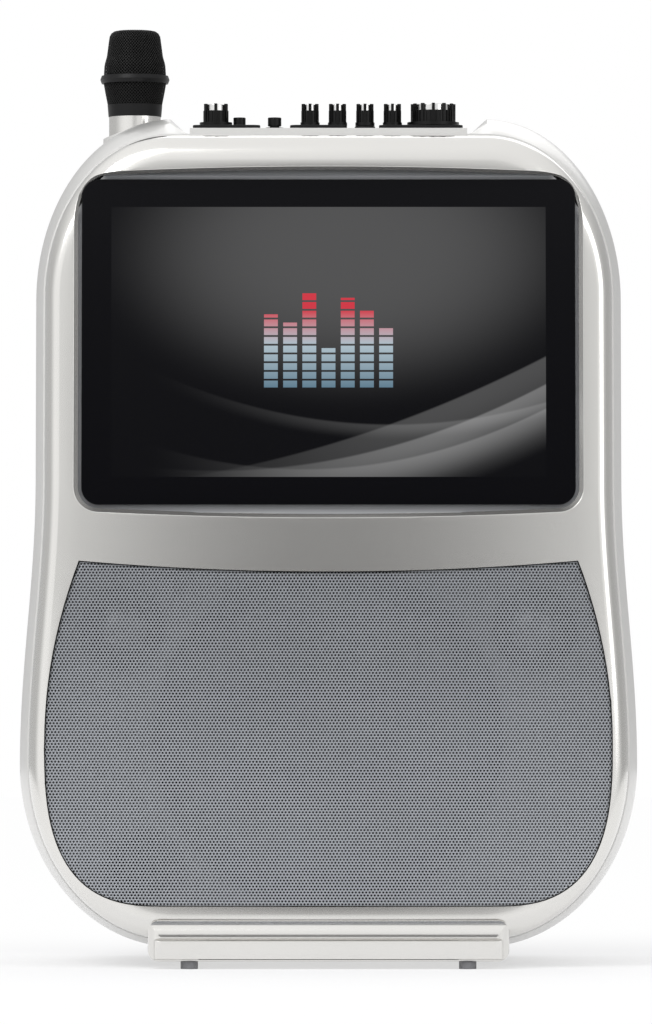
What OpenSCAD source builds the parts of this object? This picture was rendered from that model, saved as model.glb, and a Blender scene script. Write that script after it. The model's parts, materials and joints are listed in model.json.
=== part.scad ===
// Table-top karaoke machine: a bowed silver housing with a screen above a
// perforated speaker grille, a control deck on top, a microphone standing in
// its holder and a slim disc tray that slides out of the foot bar.
// Millimetres, +Z up, front towards -Y, floor at Z = 0.

/* [Body] */
// Height of the shoulders above the floor
body_top = 427; // [418:1:436]
// Height of the flat underside above the floor
body_base = 9; // [8:0.5:11]
// Width across the straight upper sides
waist_w = 296; // [290:1:306]
// Width across the belly at its widest
belly_w = 311; // [308:1:324]
// Height of the widest part of the belly
belly_z = 101; // [90:1:110]
// Height where the belly has narrowed to the waist
waist_z = 243; // [225:1:260]
// Height where the shoulders start to curve in
shoulder_z = 335; // [325:1:350]
// Width of each shoulder curve
shoulder_w = 68; // [60:1:72]
// Width of each lower corner curve
corner_w = 79; // [70:1:86]
// Overall depth from the foot bar to the rear cover
body_depth = 220; // [210:1:240]
// How far the front face leans back, in degrees
lean = 5; // [3:0.5:7]
// How far the middle of the front face bows forward
bow = 7; // [4:0.5:9]
// Wall of the moulded shells
wall = 3; // [2.4:0.1:3.5]
// Depth of the front bezel at its rim
bezel_depth = 14; // [12:0.5:18]
// Gap of the parting line between the bezel and the rear shell
parting = 0.8; // [0.5:0.1:1.5]
// How far the foot bar stands in front of the body
bar_reach = 12; // [9:0.5:16]

/* [Screen] */
// Width of the cover glass
glass_w = 247; // [238:1:250]
// Height of the cover glass
glass_h = 164; // [155:1:168]
// Height of the middle of the glass
glass_z = 313; // [309:1:315]
// Corner radius of the glass
glass_r = 9; // [6:1:12]
// Thickness of the glass
glass_t = 2; // [1.5:0.1:3]
// Depth of the glass behind the middle of the front face
glass_depth = 9.5; // [8.5:0.1:11]
// Black border beside the picture
border_w = 14.8; // [13:0.1:17]
// Black border above and below the picture
border_h = 14; // [12:0.1:16]

/* [Speaker] */
// Half width of the grille at its widest
grille_x = 141; // [138:0.5:142]
// Half width of the grille at its upper corners
grille_top_x = 124; // [118:0.5:128]
// Height of the grille's upper corners
grille_top = 202; // [196:0.5:206]
// Height of the grille's lower edge
grille_base = 31; // [27:0.5:33]
// Thickness of the grille sheet
grille_t = 1.2; // [0.8:0.1:1.6]
// Radius of the woofer frame
woofer_r = 87; // [82:0.5:88]
// Height of the middle of the woofer
woofer_z = 116; // [116:0.5:119]
// Radius of each tweeter frame
tweeter_r = 21; // [18:0.5:22]
// Distance of each tweeter from the middle
tweeter_x = 103; // [102:0.5:105]
// Height of the tweeters
tweeter_z = 170; // [169:0.5:173]
// Radius of the bass port
port_r = 17; // [14:0.5:18]

/* [Controls] */
// Height of the control deck
deck_z = 420.5; // [418.5:0.5:422]
// Width of the control deck
deck_w = 140; // [138:1:148]
// Thickness of the deck plate
deck_t = 3; // [2.5:0.1:3.5]
// Height of the black pads on the deck
pad_h = 1.8; // [1.4:0.1:2.4]
// Distance of the row of controls behind the deck's front edge
row_back = 17; // [16:0.5:24]
// Place of the microphone volume knob across the deck
mic_knob_x = -56.8; // [-58:0.1:-56]
// Place of the main volume knob across the deck
main_knob_x = 52.8; // [52:0.1:54.5]
// Place of the first small knob across the deck
small_x = -9.3; // [-10:0.1:-9]
// Spacing of the four small knobs
small_pitch = 13.85; // [13.6:0.05:14.2]
// Place of the play button across the deck
play_x = -44.9; // [-46:0.1:-44]
// Place of the eject button across the deck
eject_x = -27.2; // [-28.5:0.1:-26.5]
// Radius of a small knob
small_r = 4.55; // [4.5:0.05:5]
// Radius of the microphone volume knob
mic_knob_r = 6.5; // [6:0.1:7]
// Radius of the main volume knob
main_knob_r = 11.3; // [10.5:0.1:12]
// Height of the knobs above the pads
knob_h = 11; // [9.5:0.1:13]
// Radius of a control shaft
shaft_r = 2; // [1.5:0.1:2.2]
// Travel of a push button
button_travel = 1.2; // [1:0.1:1.6]

/* [Microphone] */
// Distance of the microphone from the middle
mic_x = -99; // [-102:0.5:-97]
// Depth position of the microphone
mic_y = 30; // [27:0.5:34]
// Height of the top of the handle
mic_neck_z = 431; // [429:0.2:435]
// Length of the handle
mic_len = 200; // [180:1:210]
// Radius of the handle at its top
mic_r = 13.2; // [12.6:0.1:14]
// Radius of the handle at its foot
mic_foot_r = 11.5; // [10:0.1:12.5]
// Height of the wire head
head_h = 44; // [42:0.2:50]
// Radius of the head at its band
head_r = 17.1; // [16.5:0.1:18.5]
// Clearance round the handle in its holder
holder_gap = 1; // [0.9:0.1:1.5]

/* [Disc tray] */
// Width of the foot bar
bar_w = 179; // [176:1:190]
// Height of the foot bar's top
bar_top = 24; // [22:0.5:26]
// Height of the rubber feet
foot_h = 3.7; // [3:0.1:4.5]
// Radius of the disc that the tray takes
disc_r = 60; // [59:0.5:60.5]
// Length of the tray that stays inside when it is open
tray_held = 46; // [40:1:60]
// Height of the underside of the tray
tray_z = 6.2; // [6.1:0.1:6.3]
// Thickness of the tray
tray_t = 6.6; // [6.4:0.1:6.8]
// Travel of the pickup sled
sled_travel = 32; // [28:1:33]
// Radius of the turntable
table_r = 15; // [13:0.5:15.5]
// Module of the sled's rack and gear
rack_module = 0.6; // [0.55:0.01:0.65]
// Teeth of the sled's gear
gear_teeth = 14; // [13:1:15]

/* [Hidden] */
// Clearance between pieces that don't touch
gap = 0.3;
// Running clearance of a shaft in its hole
run = 0.05;
// Places of the body: half widths, front and rear planes, deck floor, bow
hw = waist_w / 2;
hb = belly_w / 2;
corner_x = hb - corner_w;
shoulder_x = hw - shoulder_w;
front_y = -body_depth / 2 + bar_reach;
cover_t = 3;
rear_y = body_depth / 2 - cover_t;
notch_x = deck_w / 2;
floor_z = deck_z - deck_t;
bow_r = (hw * hw + bow * bow) / (2 * bow);
mid_z = (body_base + body_top) / 2;
// Steps along each corner curve and along the waist
corner_steps = 12;
waist_steps = 6;
// Insets of the bezel's rim and of the rear opening: sides, top, bottom
rim_inset = [5.8, 10.7, 4.4];
rear_inset = [36, 34, 20];
// Outline of the speaker grille
grille_wide_z = 112;
grille_corner_w = 60;
grille_sag = 5.5;
grille_power = 2.8;
grille_steps = 10;
// Posts, glass frame and baffle behind the bezel
post_r = 3.5;
baffle_y = 15;
baffle_t = 6;
baffle_grow = 4;
frame_back = glass_depth + glass_t + 2;
screen_frame = 11;
post_places = [[140, 158], [142, 95], [70, 26.5]];
// Front edge of the rear shell
shell_front = bezel_depth + parting;
// Rear cover: lap over the shell, vents, jacks, inlet, switch and grip
cover_lap = 6.5;
rim_flat = 7.5;
screw_r = 1.6;
head_t = 1.5;
screw_head_r = 2.8;
pilot_r = screw_r + run;
pass_r = screw_r + 0.3;
vent_w = 60;
vent_h = 3;
vent_count = 9;
jack_z = 150;
jack_pitch = 17;
jack_r = 3.2;
inlet_w = 27;
inlet_h = 20;
inlet_x = 62;
inlet_z = 80;
switch_x = 24;
grip_w = 96;
grip_h = 26;
grip_z = 375;
grip_deep = 22;
jack_xs = [for (i = [0:4]) (i - 2) * jack_pitch - 40];
screw_inset = grown(rear_inset, -3);
screw_line = half_outline(screw_inset[0], screw_inset[1], screw_inset[2], body_top);
cover_screws = [for (side = [-1, 1], k = [8, 18, 24]) [side * screw_line[k][0], screw_line[k][1]]];
// Deck, its row of controls and their places across it
deck_front = face_y(deck_z) + 20;
deck_back = rear_y - 60;
row_y = deck_front + row_back;
small_xs = [for (i = [0:3]) small_x + i * small_pitch];
button_xs = [play_x, eject_x];
knobs = concat([[mic_knob_x, mic_knob_r]], [for (x = small_xs) [x, small_r]], [[main_knob_x, main_knob_r]]);
bush_r = 3.5;
stem_r = 2.4;
pad_z = deck_z + pad_h;
// Foot bar, tray slot and drive bay
bar_low = foot_h;
bar_y = -body_depth / 2;
bar_round = 8;
crease_z = tray_z + tray_t + 1.8;
slot_z = crease_z - 0.2;
bay_top = slot_z + 1.2;
drive_front = front_y + bezel_depth + 4;
drive_back = rear_y - 26;
plinth_w = 152;
foot_r = 4.3;
// Bass port and woofer
port_x = -91;
port_z = 50;
basket_t = 3;
basket_deep = 48;
magnet_r = 45;
magnet_t = 24;
cone_r = 52;
surround_r = woofer_r - 13.15;
cap_r = 29;
cone_neck_r = 16;
cone_neck_z = 25.5;
cap_seat = cone_neck_z - (cap_r - cone_neck_r) / (cone_r - 2 - cone_neck_r) * (cone_neck_z + 2) - 0.4;
dome_r = 12;
flange_t = 2.5;
// Picture area, and the layers behind the glass
picture_w = glass_w - 2 * border_w;
picture_h = glass_h - 2 * border_h;
panel_y = glass_depth + glass_t + gap;
panel_t = 5;
bracket_y = panel_y + panel_t + gap;
bracket_t = 1.2;
board_t = 1.6;
board_y = bracket_y + bracket_t + 6;
board_w = 0.6 * picture_w;
board_h = 0.66 * picture_h;
board_inset = 6;
psu_y = rear_y - 12;
// Control board, knobs and buttons
control_w = deck_w - 8;
control_deep = 26;
control_board_z = floor_z - 3 - 14;
pot_r = 6;
pot_h = 8;
rib_w = 1.5;
ring_h = 3.4;
button_top = pad_z + 4.5;
button_seat = deck_z + 0.4;
button_r = [3.1, 3.4];
skirt_t = 1.7;
// Microphone and its holder
holder_r = mic_r + holder_gap + 2;
mic_foot_z = mic_neck_z - mic_len;
holder_mouth_z = mic_neck_z - 6.5;
mouth_slope = 17;
neck_h = 6;
head_z = mic_neck_z + neck_h;
band_z = mic_neck_z + head_h * 0.43;
band_t = 4;
head_foot_r = mic_r + 0.8;
// Power rocker: size, pivot and tilt at rest
switch_w = 20;
switch_h = 13;
rocker_w = 16;
rocker_h = 10;
rocker_y = rear_y - 0.5;
rocker_tilt = 8;
pin_r = 1;
// Disc tray
tray_x = disc_r + 2.4;
slot_x = tray_x + 2;
bay_x = slot_x + 2.6;
foot_x = slot_x + foot_r + 0.2;
tray_front_y = bar_y;
panel_deep = 5;
tray_y0 = tray_front_y + panel_deep;
tray_len = drive_back - 14 - tray_y0;
tray_travel = tray_len - tray_held;
tray_front_x = bar_w / 2 - 3.5;
window_w = 28;
window_end = disc_r + 1;
disc_y = tray_y0 + disc_r + 3;
dish_z = tray_z + 4.2;
pocket_z = dish_z - 0.8;
table_top = dish_z + 1;
// Pickup sled, its rods, rack and gear
sled_x = 17;
sled_len = 22;
rod_x = 12;
rod_r = 1.2;
rod_z = tray_z + 1.6;
sled_y = disc_y + table_r + 1.4 + sled_len / 2;
rack_half = 20;
gear_rp = rack_module * gear_teeth / 2;
gear_ro = gear_rp + rack_module;
rack_pitch = PI * rack_module;
rack_line = sled_x + 2.2;
gear_x = rack_line + gear_rp;
gear_y = sled_y + sled_travel / 2;
gear_z = tray_z + 0.5;
gear_h = 2.2;
backlash = 0.08;
// Rack teeth, phased so that a space faces the gear's tooth at rest
rack_reach = ceil((rack_half + sled_travel) / rack_pitch);
tooth_ys = [for (k = [-rack_reach:rack_reach])
    let (y = gear_y + (k + 0.5) * rack_pitch)
    if (abs(y - sled_y) < rack_half - rack_pitch / 2) y];

// Y of the front face's middle at height z
function face_y(z) = front_y + z * tan(lean);

// One half of a cross-section's outline, from the bottom middle to the top
// middle, moved in by es at the sides, et at the top and eb at the bottom
function half_outline(es, et, eb, cut) =
    let (
        low = body_base + eb,
        high = body_top - et,
        a1 = hb - es - corner_x,
        b1 = belly_z - low,
        a2 = hw - es - shoulder_x,
        b2 = high - shoulder_z
    )
    concat(
        [[0, low], [corner_x / 2, low]],
        [for (i = [0:corner_steps])
            let (t = 90 * i / corner_steps - 90)
            [corner_x + a1 * cos(t), belly_z + b1 * sin(t)]],
        [for (i = [1:waist_steps])
            let (u = i / waist_steps)
            [hw - es + (hb - hw) * (1 + cos(180 * u)) / 2, belly_z + (waist_z - belly_z) * u]],
        [for (i = [0:corner_steps])
            let (t = 90 * i / corner_steps)
            [shoulder_x + a2 * cos(t), shoulder_z + b2 * sin(t)]],
        [[notch_x, min(high, cut)], [0, min(high, cut)]]
    );

// A half outline and its mirror image as one closed loop
function mirrored(half) =
    let (n = len(half))
    concat(half, [for (i = [n - 2:-1:1]) [-half[i][0], half[i][1]]]);

// A ring of the front: leaning and bowed, at depth d behind the face
function front_ring(d, e, cut = floor_z) =
    [for (p = mirrored(half_outline(e[0], e[1], e[2], cut)))
        [p[0], face_y(p[1]) + d + bow * pow(p[0] / hw, 2), p[1]]];

// A ring of the front's cap, drawn in towards the middle by the factor s
function cap_ring(d, e, s) =
    [for (p = mirrored(half_outline(e[0], e[1], e[2], floor_z)))
        let (x = p[0] * s, z = mid_z + (p[1] - mid_z) * s)
        [x, face_y(z) + d + bow * pow(x / hw, 2), z]];

// A ring of the rear: u = 0 leans with the front, u = 1 stands upright at y
function rear_ring(d, y, u, e, cut = floor_z) =
    [for (p = mirrored(half_outline(e[0], e[1], e[2], cut)))
        let (lead = face_y(p[1]) + d + bow * pow(p[0] / hw, 2) * (1 - u))
        [p[0], lead * (1 - u) + y * u, p[1]]];

// Triangles between ring i and ring j of n points each
function band(i, j, n) =
    [for (k = [0:n - 1])
        for (t = [0:1])
            let (a = i * n + k, b = i * n + (k + 1) % n, c = j * n + (k + 1) % n, e = j * n + k)
            t == 0 ? [a, b, c] : [a, c, e]];

// A solid through rings whose first and last ring close on a middle point
module capped_loft(rings, first, last) {
    n = len(rings[0]);
    m = len(rings);
    points = concat([for (r = rings) for (p = r) p], [first, last]);
    polyhedron(points, concat(
        [for (i = [0:m - 2]) for (f = band(i, i + 1, n)) f],
        [for (k = [0:n - 1]) [n * m, (k + 1) % n, k]],
        [for (k = [0:n - 1]) [n * m + 1, (m - 1) * n + k, (m - 1) * n + (k + 1) % n]]
    ), convexity = 8);
}

// A solid through rings that run out along the outside and back along the inside
module looped_loft(rings) {
    n = len(rings[0]);
    m = len(rings);
    polyhedron([for (r = rings) for (p = r) p],
        [for (i = [0:m - 1]) for (f = band(i, (i + 1) % m, n)) f],
        convexity = 8);
}

function grown(e, by) = [e[0] + by, e[1] + by, e[2] + by];

// Places its children on the leaning front: X across, Y into the body, Z up the face
module on_face() {
    translate([0, front_y, 0]) rotate([-lean, 0, 0]) children();
}
function up_face(z) = z / cos(lean);

// A rounded rectangle, centred
module rounded(w, h, r) {
    square([w - 2 * r, h], center = true);
    square([w, h - 2 * r], center = true);
    for (x = [-1, 1], z = [-1, 1])
        translate([x * (w / 2 - r), z * (h / 2 - r)]) circle(r, $fn = 48);
}

// A flat shape drawn in X and Z becomes a slab from depth y to y + t
module slab(y, t) {
    translate([0, y + t, 0]) rotate([90, 0, 0]) linear_extrude(t) children();
}

// Everything that lies deeper than d behind the bowed face, in the face's frame
module behind_face(d) {
    translate([0, bow_r, -5]) cylinder(r = bow_r - d, h = body_top + 20, $fn = 200);
}
// The layer from depth d0 to depth d1 behind the bowed face, in flat strips
bow_steps = 8;
module bowed_layer(d0, d1) {
    xs = [for (i = [-bow_steps:bow_steps]) hw * i / bow_steps];
    translate([0, 0, -5]) linear_extrude(body_top + 20)
        polygon(concat(
            [for (x = xs) [x, d0 + bow * pow(x / hw, 2)]],
            [for (i = [2 * bow_steps:-1:0]) [xs[i], d1 + bow * pow(xs[i] / hw, 2)]]
        ));
}

// Outline of the speaker grille, grown by g
function grille_half(g) =
    let (
        cx = grille_x - grille_corner_w,
        a = grille_corner_w + g,
        b = grille_wide_z - grille_base + g,
        span = grille_top - grille_wide_z
    )
    concat(
        [for (i = [0:grille_steps])
            let (t = 90 * i / grille_steps)
            [cx + a * pow(sin(t), 2 / grille_power), grille_wide_z - b * pow(cos(t), 2 / grille_power)]],
        [for (i = [1:6])
            let (u = i / 6)
            [grille_x + g - (grille_x - grille_top_x) * u * u, grille_wide_z + (span + g) * u]],
        [for (i = [1:5])
            let (u = i / 6)
            [(grille_top_x + g) * (1 - u), grille_top + g - grille_sag * (1 - pow(1 - u, 2))]]
    );
module grille_shape(g) {
    half = [for (p = grille_half(g)) [p[0], up_face(p[1])]];
    polygon(concat([[0, half[0][1]]], half, [[0, up_face(grille_top + g - grille_sag)]],
        [for (i = [len(half) - 1:-1:0]) [-half[i][0], half[i][1]]]));
}

// Front bezel: bowed dish with the screen recess, the grille opening and posts
module front_bezel() {
    face = grown(rim_inset, 8);
    outer = [
        cap_ring(0, face, 0.3), cap_ring(0, face, 0.65), front_ring(0, face),
        front_ring(0.9, grown(rim_inset, 4.6)), front_ring(2.9, grown(rim_inset, 2.2)),
        front_ring(6, grown(rim_inset, 0.8)), front_ring(10, grown(rim_inset, 0.2)),
        front_ring(bezel_depth, rim_inset)
    ];
    inner = [
        front_ring(bezel_depth, grown(rim_inset, wall)),
        front_ring(wall + 4, grown(rim_inset, wall + 0.8)),
        front_ring(wall + 0.9, grown(rim_inset, wall + 4)),
        cap_ring(wall, grown(rim_inset, wall + 8), 0.95),
        cap_ring(wall, face, 0.5)
    ];
    color("silver")
    difference() {
        union() {
            capped_loft(concat(outer, inner),
                [0, face_y(mid_z), mid_z], [0, face_y(mid_z) + wall, mid_z]);
            on_face() {
                screen_frame_ring();
                grille_ledge();
                for (p = post_places, side = [-1, 1])
                    let (root = bow * pow(p[0] / hw, 2) + wall - 0.1)
                    translate([side * p[0], root, up_face(p[1])])
                    rotate([-90, 0, 0]) cylinder(r = post_r, h = baffle_y - root, $fn = 24);
            }
        }
        on_face() {
            recess_cut();
            // seat of the glass
            at_glass() slab(glass_depth - 0.02, glass_t + 0.02)
                rounded(glass_w + gap, glass_h + gap, glass_r);
            // window behind the glass
            at_glass() slab(glass_depth, 12) rounded(glass_w - 14, glass_h - 14, glass_r);
            // mouth of the grille, down to its ledge
            intersection() {
                slab(-2, bow + wall + 4) grille_shape(0.5);
                bowed_layer(-3, wall);
            }
            // opening inside the ledge
            slab(-2, bow + wall + 8) grille_shape(-3);
        }
    }
}
module at_glass() {
    translate([0, 0, up_face(glass_z)]) children();
}
// Frame that carries the glass, kept inside the bezel's walls
module screen_frame_ring() {
    intersection() {
        bowed_layer(wall / 2, frame_back + bow);
        at_glass() slab(0, frame_back) difference() {
            rounded(glass_w + 2 * screen_frame, glass_h + 2 * screen_frame, glass_r + 6);
            rounded(glass_w - 16, glass_h - 16, glass_r);
        }
        slab(0, frame_back) rim_shape(wall + 0.8);
    }
}
// Outline of the bezel's rim, moved in by e, drawn up the face
module rim_shape(e) {
    inset = grown(rim_inset, e);
    polygon([for (p = mirrored(half_outline(inset[0], inset[1], inset[2], floor_z))) [p[0], up_face(p[1])]]);
}
// Ledge that carries the edge of the grille
module grille_ledge() {
    intersection() {
        bowed_layer(wall / 2, wall + 2.5);
        slab(-1, bow + wall + 5) grille_shape(2.5);
    }
}
// Sloped sides of the screen recess
module recess_cut() {
    at_glass() hull() {
        slab(glass_depth - 0.01, 0.01) rounded(glass_w + gap, glass_h + gap, glass_r);
        translate([0, 0, -1.2]) slab(-0.2, 0.01) rounded(glass_w + 17, glass_h + 13, glass_r + 7);
    }
}

// Rear shell: one moulding from the parting line round to the rear rim
module rear_shell() {
    outer = [
        front_ring(shell_front, [5, 9.7, 3.8]), front_ring(20, [3.4, 7, 2.6]),
        front_ring(30, [1.4, 3.2, 1.2]), rear_ring(48, 0, 0, [0, 0, 0]),
        rear_ring(48, rear_y - 70, 0.5, [0.4, 0.4, 0]), rear_ring(0, rear_y - 70, 1, [3, 3, 0.4]),
        rear_ring(0, rear_y - 35, 1, [9, 8, 2]), rear_ring(0, rear_y - 15, 1, [16, 14, 6]),
        rear_ring(0, rear_y - 5, 1, [22, 20, 8.5]), rear_ring(0, rear_y - 1, 1, [27, 25, 11.5]),
        rear_ring(0, rear_y, 1, grown(rear_inset, -rim_flat)), rear_ring(0, rear_y, 1, rear_inset)
    ];
    low = floor_z - wall;
    inner = [
        rear_ring(0, rear_y - wall, 1, rear_inset, low),
        rear_ring(0, rear_y - wall - 1.5, 1, [31, 29, 18], low),
        rear_ring(0, rear_y - 18, 1, [19.5, 17.5, 10], low),
        rear_ring(0, rear_y - 36, 1, [12.2, 11.2, 5.2], low),
        rear_ring(0, rear_y - 70, 1, grown([3, 3, 0.4], wall), low),
        rear_ring(48, 0, 0, grown([0, 0, 0], wall), low),
        front_ring(30, grown([1.4, 3.2, 1.2], wall), low),
        front_ring(shell_front, grown([5, 9.7, 3.8], wall), low)
    ];
    color("lightgray")
    difference() {
        looped_loft(concat(outer, inner));
        // bay of the disc drive
        translate([-bay_x - gap, drive_front - 4, 0])
            cube([2 * (bay_x + gap), drive_back + 4 + gap - drive_front, bay_top + gap]);
        // holes of the controls
        for (k = knobs) translate([k[0], row_y, floor_z - 9]) cylinder(r = bush_r + gap, h = 12, $fn = 32);
        for (x = button_xs) translate([x, row_y, floor_z - 9]) cylinder(r = stem_r + 0.6, h = 12, $fn = 32);
        // mouth of the microphone holder
        translate([mic_x, mic_y, mic_neck_z - 60]) cylinder(r = holder_r + 0.1, h = 80, $fn = 64);
        // holes of the cover screws
        at_cover_screws(-2 * wall) cylinder(r = pilot_r, h = 3 * wall, $fn = 24);
    }
}

// Rear cover: flat panel with vents, a jack field, the inlet and a grip recess
module cover_shape() {
    e = grown(rear_inset, -cover_lap);
    polygon(mirrored(half_outline(e[0], e[1], e[2], floor_z - 4)));
}
// Places its children at each cover screw, depth y behind the shell's rim
module at_cover_screws(y) {
    for (p = cover_screws) translate([p[0], rear_y + y, p[1]]) rotate([-90, 0, 0]) children();
}
module rear_cover() {
    color("dimgray")
    difference() {
        union() {
            slab(rear_y, cover_t) cover_shape();
            // moulded pocket of the grip
            translate([0, 0, grip_z]) slab(rear_y - grip_deep, grip_deep) rounded(grip_w + 6, grip_h + 6, 12);
        }
        translate([0, 0, grip_z]) slab(rear_y - grip_deep + 3, grip_deep + 3) rounded(grip_w, grip_h, 10);
        for (i = [0:vent_count - 1], side = [-1, 1])
            translate([side * 50, 0, 235 + i * 10]) slab(rear_y - 1, cover_t + 2) rounded(vent_w, vent_h, 1.4);
        for (x = jack_xs)
            translate([x, rear_y - 1, jack_z]) rotate([-90, 0, 0]) cylinder(r = jack_r + 1.3, h = 6, $fn = 32);
        translate([inlet_x, 0, inlet_z]) slab(rear_y - 1, cover_t + 2) rounded(inlet_w, inlet_h, 3);
        translate([switch_x, 0, inlet_z]) slab(rear_y - 1, cover_t + 2) rounded(switch_w, switch_h, 1);
        at_cover_screws(-1) cylinder(r = pass_r, h = cover_t + 2, $fn = 24);
        at_cover_screws(1) cylinder(r = screw_head_r + 0.2, h = cover_t, $fn = 32);
    }
}

// Deck plate and the black pads that the controls stand on
module deck_holes(z, h) {
    for (k = knobs) translate([k[0], row_y, z]) cylinder(r = bush_r + 0.1, h = h, $fn = 32);
    for (x = button_xs) translate([x, row_y, z]) cylinder(r = stem_r + gap, h = h, $fn = 32);
}
module control_deck() {
    color("gainsboro")
    difference() {
        translate([-notch_x + gap, deck_front, floor_z])
            cube([2 * (notch_x - gap), deck_back - deck_front, deck_t]);
        deck_holes(floor_z - 1, deck_t + 2);
    }
}
// A black pad from x1 to x2 round the row of controls
module pad(x1, x2) {
    deep = 2 * main_knob_r + 5;
    translate([(x1 + x2) / 2, row_y, deck_z])
        linear_extrude(pad_h) rounded(x2 - x1, deep, 4);
}
module control_pads() {
    color([0.06, 0.06, 0.07])
    difference() {
        union() {
            pad(mic_knob_x - mic_knob_r - 5, button_xs[0] + 10.5);
            pad(small_xs[0] - small_r - 5.5, small_xs[1] + small_r + 0.2);
            pad(small_xs[2] + small_r + 2.5, main_knob_x + main_knob_r + 3.5);
            translate([button_xs[1], row_y, deck_z]) cylinder(r = button_r[1] + 1.4, h = pad_h - 0.6, $fn = 48);
            translate([small_xs[2], row_y, deck_z]) cylinder(r = small_r + 0.6, h = pad_h, $fn = 48);
        }
        deck_holes(deck_z - 1, pad_h + 2);
        for (i = [0, 1]) translate([button_xs[i], row_y, button_seat])
            cylinder(r = button_r[i] + gap, h = pad_h, $fn = 40);
    }
}

// Foot bar and plinth: the machine stands on it and the disc drive lies in it
module bar_profile(y0, y1) {
    top = bar_top;
    polygon(concat(
        [[y1, bar_low], [y1, top]],
        [for (i = [0:8]) let (t = 90 + 90 * i / 8)
            [y0 + bar_round + bar_round * cos(t), top - bar_round + bar_round * sin(t)]],
        [[y0, crease_z + 0.9], [y0 + 0.9, crease_z], [y0, crease_z - 0.9]],
        [for (i = [0:6]) let (t = 180 + 90 * i / 6)
            [y0 + 3.5 + 3.5 * cos(t), bar_low + 3.5 + 3.5 * sin(t)]]
    ));
}
// The whole bar, rounded at its ends
module bar_solid() {
    intersection() {
        rotate([90, 0, 90]) translate([0, 0, -bar_w / 2])
            linear_extrude(bar_w) bar_profile(bar_y, front_y - gap + 6);
        translate([0, bar_y + 30, 0]) linear_extrude(40) rounded(bar_w, 60, 7);
        translate([0, 0, (bar_low + bar_top) / 2]) slab(bar_y - 5, 60)
            rounded(bar_w, bar_top - bar_low, 6);
    }
}
module base_stand() {
    back = front_y - gap;
    color("silver")
    difference() {
        union() {
            bar_solid();
            translate([-plinth_w / 2, back, bar_low])
                cube([plinth_w, rear_y - 14 - back, body_base - bar_low]);
        }
        // slot of the tray and bay of the drive
        translate([-slot_x, bar_y - 1, bar_low + 1])
            cube([2 * slot_x, 40, slot_z - bar_low - 1]);
        // seat of the tray's front
        translate([-tray_front_x - gap, bar_y - 1, bar_low + 1])
            cube([2 * (tray_front_x + gap), 1 + panel_deep + gap, slot_z - bar_low - 1]);
        translate([-bay_x, drive_front, bar_low + 1.3]) cube([2 * bay_x, drive_back - drive_front, 20]);
        // room for the bowed underside of the front
        stand_relief();
    }
}
// Space that the lower edge of the bezel takes above the plinth
module stand_relief() {
    translate([-bar_w, front_y - gap, body_base + 3.6]) cube([2 * bar_w, 60, 40]);
}
module rubber_feet() {
    color([0.12, 0.12, 0.12])
    for (x = [-foot_x, foot_x], y = [bar_y + foot_r + 3, rear_y - 24])
        translate([x, y, 0]) cylinder(r = foot_r, h = foot_h, $fn = 32);
}

// Speaker grille: bowed perforated sheet with a turned-in edge
module speaker_grille() {
    color([0.55, 0.55, 0.55])
    on_face() intersection() {
        slab(-1, bow + 8) grille_shape(0);
        difference() {
            behind_face(wall - grille_t - 0.02);
            behind_face(wall - 0.02);
        }
    }
}

// Baffle: board that carries the speakers, resting on the bezel's posts
module baffle() {
    through = 4 * baffle_t;
    color([0.15, 0.15, 0.15])
    difference() {
        on_face() slab(baffle_y, baffle_t) intersection() {
            grille_shape(baffle_grow);
            rim_shape(wall + 2);
        }
        at_woofer() translate([0, 0, -baffle_t]) cylinder(r = woofer_r - 9, h = through, $fn = 96);
        at_tweeters() translate([0, 0, -baffle_t]) cylinder(r = tweeter_r - 5, h = through, $fn = 48);
        at_port() translate([0, 0, -baffle_t]) cylinder(r = port_r, h = through, $fn = 48);
        at_woofer_screws(-1) cylinder(r = pilot_r, h = baffle_t, $fn = 24);
        at_tweeter_screws(-1) cylinder(r = pilot_r, h = baffle_t, $fn = 24);
    }
}

// Woofer: basket, magnet, cone, surround and dust cap, all round one axis
module at_woofer() {
    on_face() translate([0, baffle_y, up_face(woofer_z)]) rotate([-90, 0, 0]) children();
}
module at_woofer_screws(z) {
    at_woofer() for (a = [0:45:315]) rotate([0, 0, a + 22.5]) translate([woofer_r - 5, 0, z]) children();
}
module woofer_basket() {
    color([0.2, 0.2, 0.22])
    difference() {
        at_woofer() rotate_extrude($fn = 96) polygon([
            [woofer_r, -basket_t], [woofer_r, 0], [woofer_r - 10, 0], [woofer_r - 12, 8],
            [magnet_r - 6, basket_deep], [20, basket_deep], [20, basket_deep - 2.5],
            [magnet_r - 8, basket_deep - 2.5], [woofer_r - 15, 6], [woofer_r - 13, -basket_t]
        ]);
        // windows between the arms
        at_woofer() for (a = [0:60:300])
            rotate([0, 0, a + 30]) translate([magnet_r - 2, -13, 12]) cube([25, 26, basket_deep - 20]);
        at_woofer_screws(-basket_t - 1) cylinder(r = pass_r, h = basket_t + 2, $fn = 24);
    }
}
module woofer_magnet() {
    color([0.1, 0.1, 0.1])
    at_woofer() translate([0, 0, basket_deep]) difference() {
        union() {
            cylinder(r = magnet_r, h = magnet_t, $fn = 64);
            translate([0, 0, magnet_t]) cylinder(r = magnet_r - 4, h = 5, $fn = 64);
        }
        translate([0, 0, -1]) cylinder(r = 8, h = magnet_t + 10, $fn = 32);
    }
}
module woofer_cone() {
    color([0.08, 0.08, 0.08])
    at_woofer() rotate_extrude($fn = 96) polygon([
        [cone_r, -2], [cone_r, -1], [cone_neck_r + 2, cone_neck_z + 1.5], [cone_neck_r + 2, 40],
        [cone_neck_r, 40], [cone_neck_r, cone_neck_z], [cone_r - 2, -2]
    ]);
}
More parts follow.
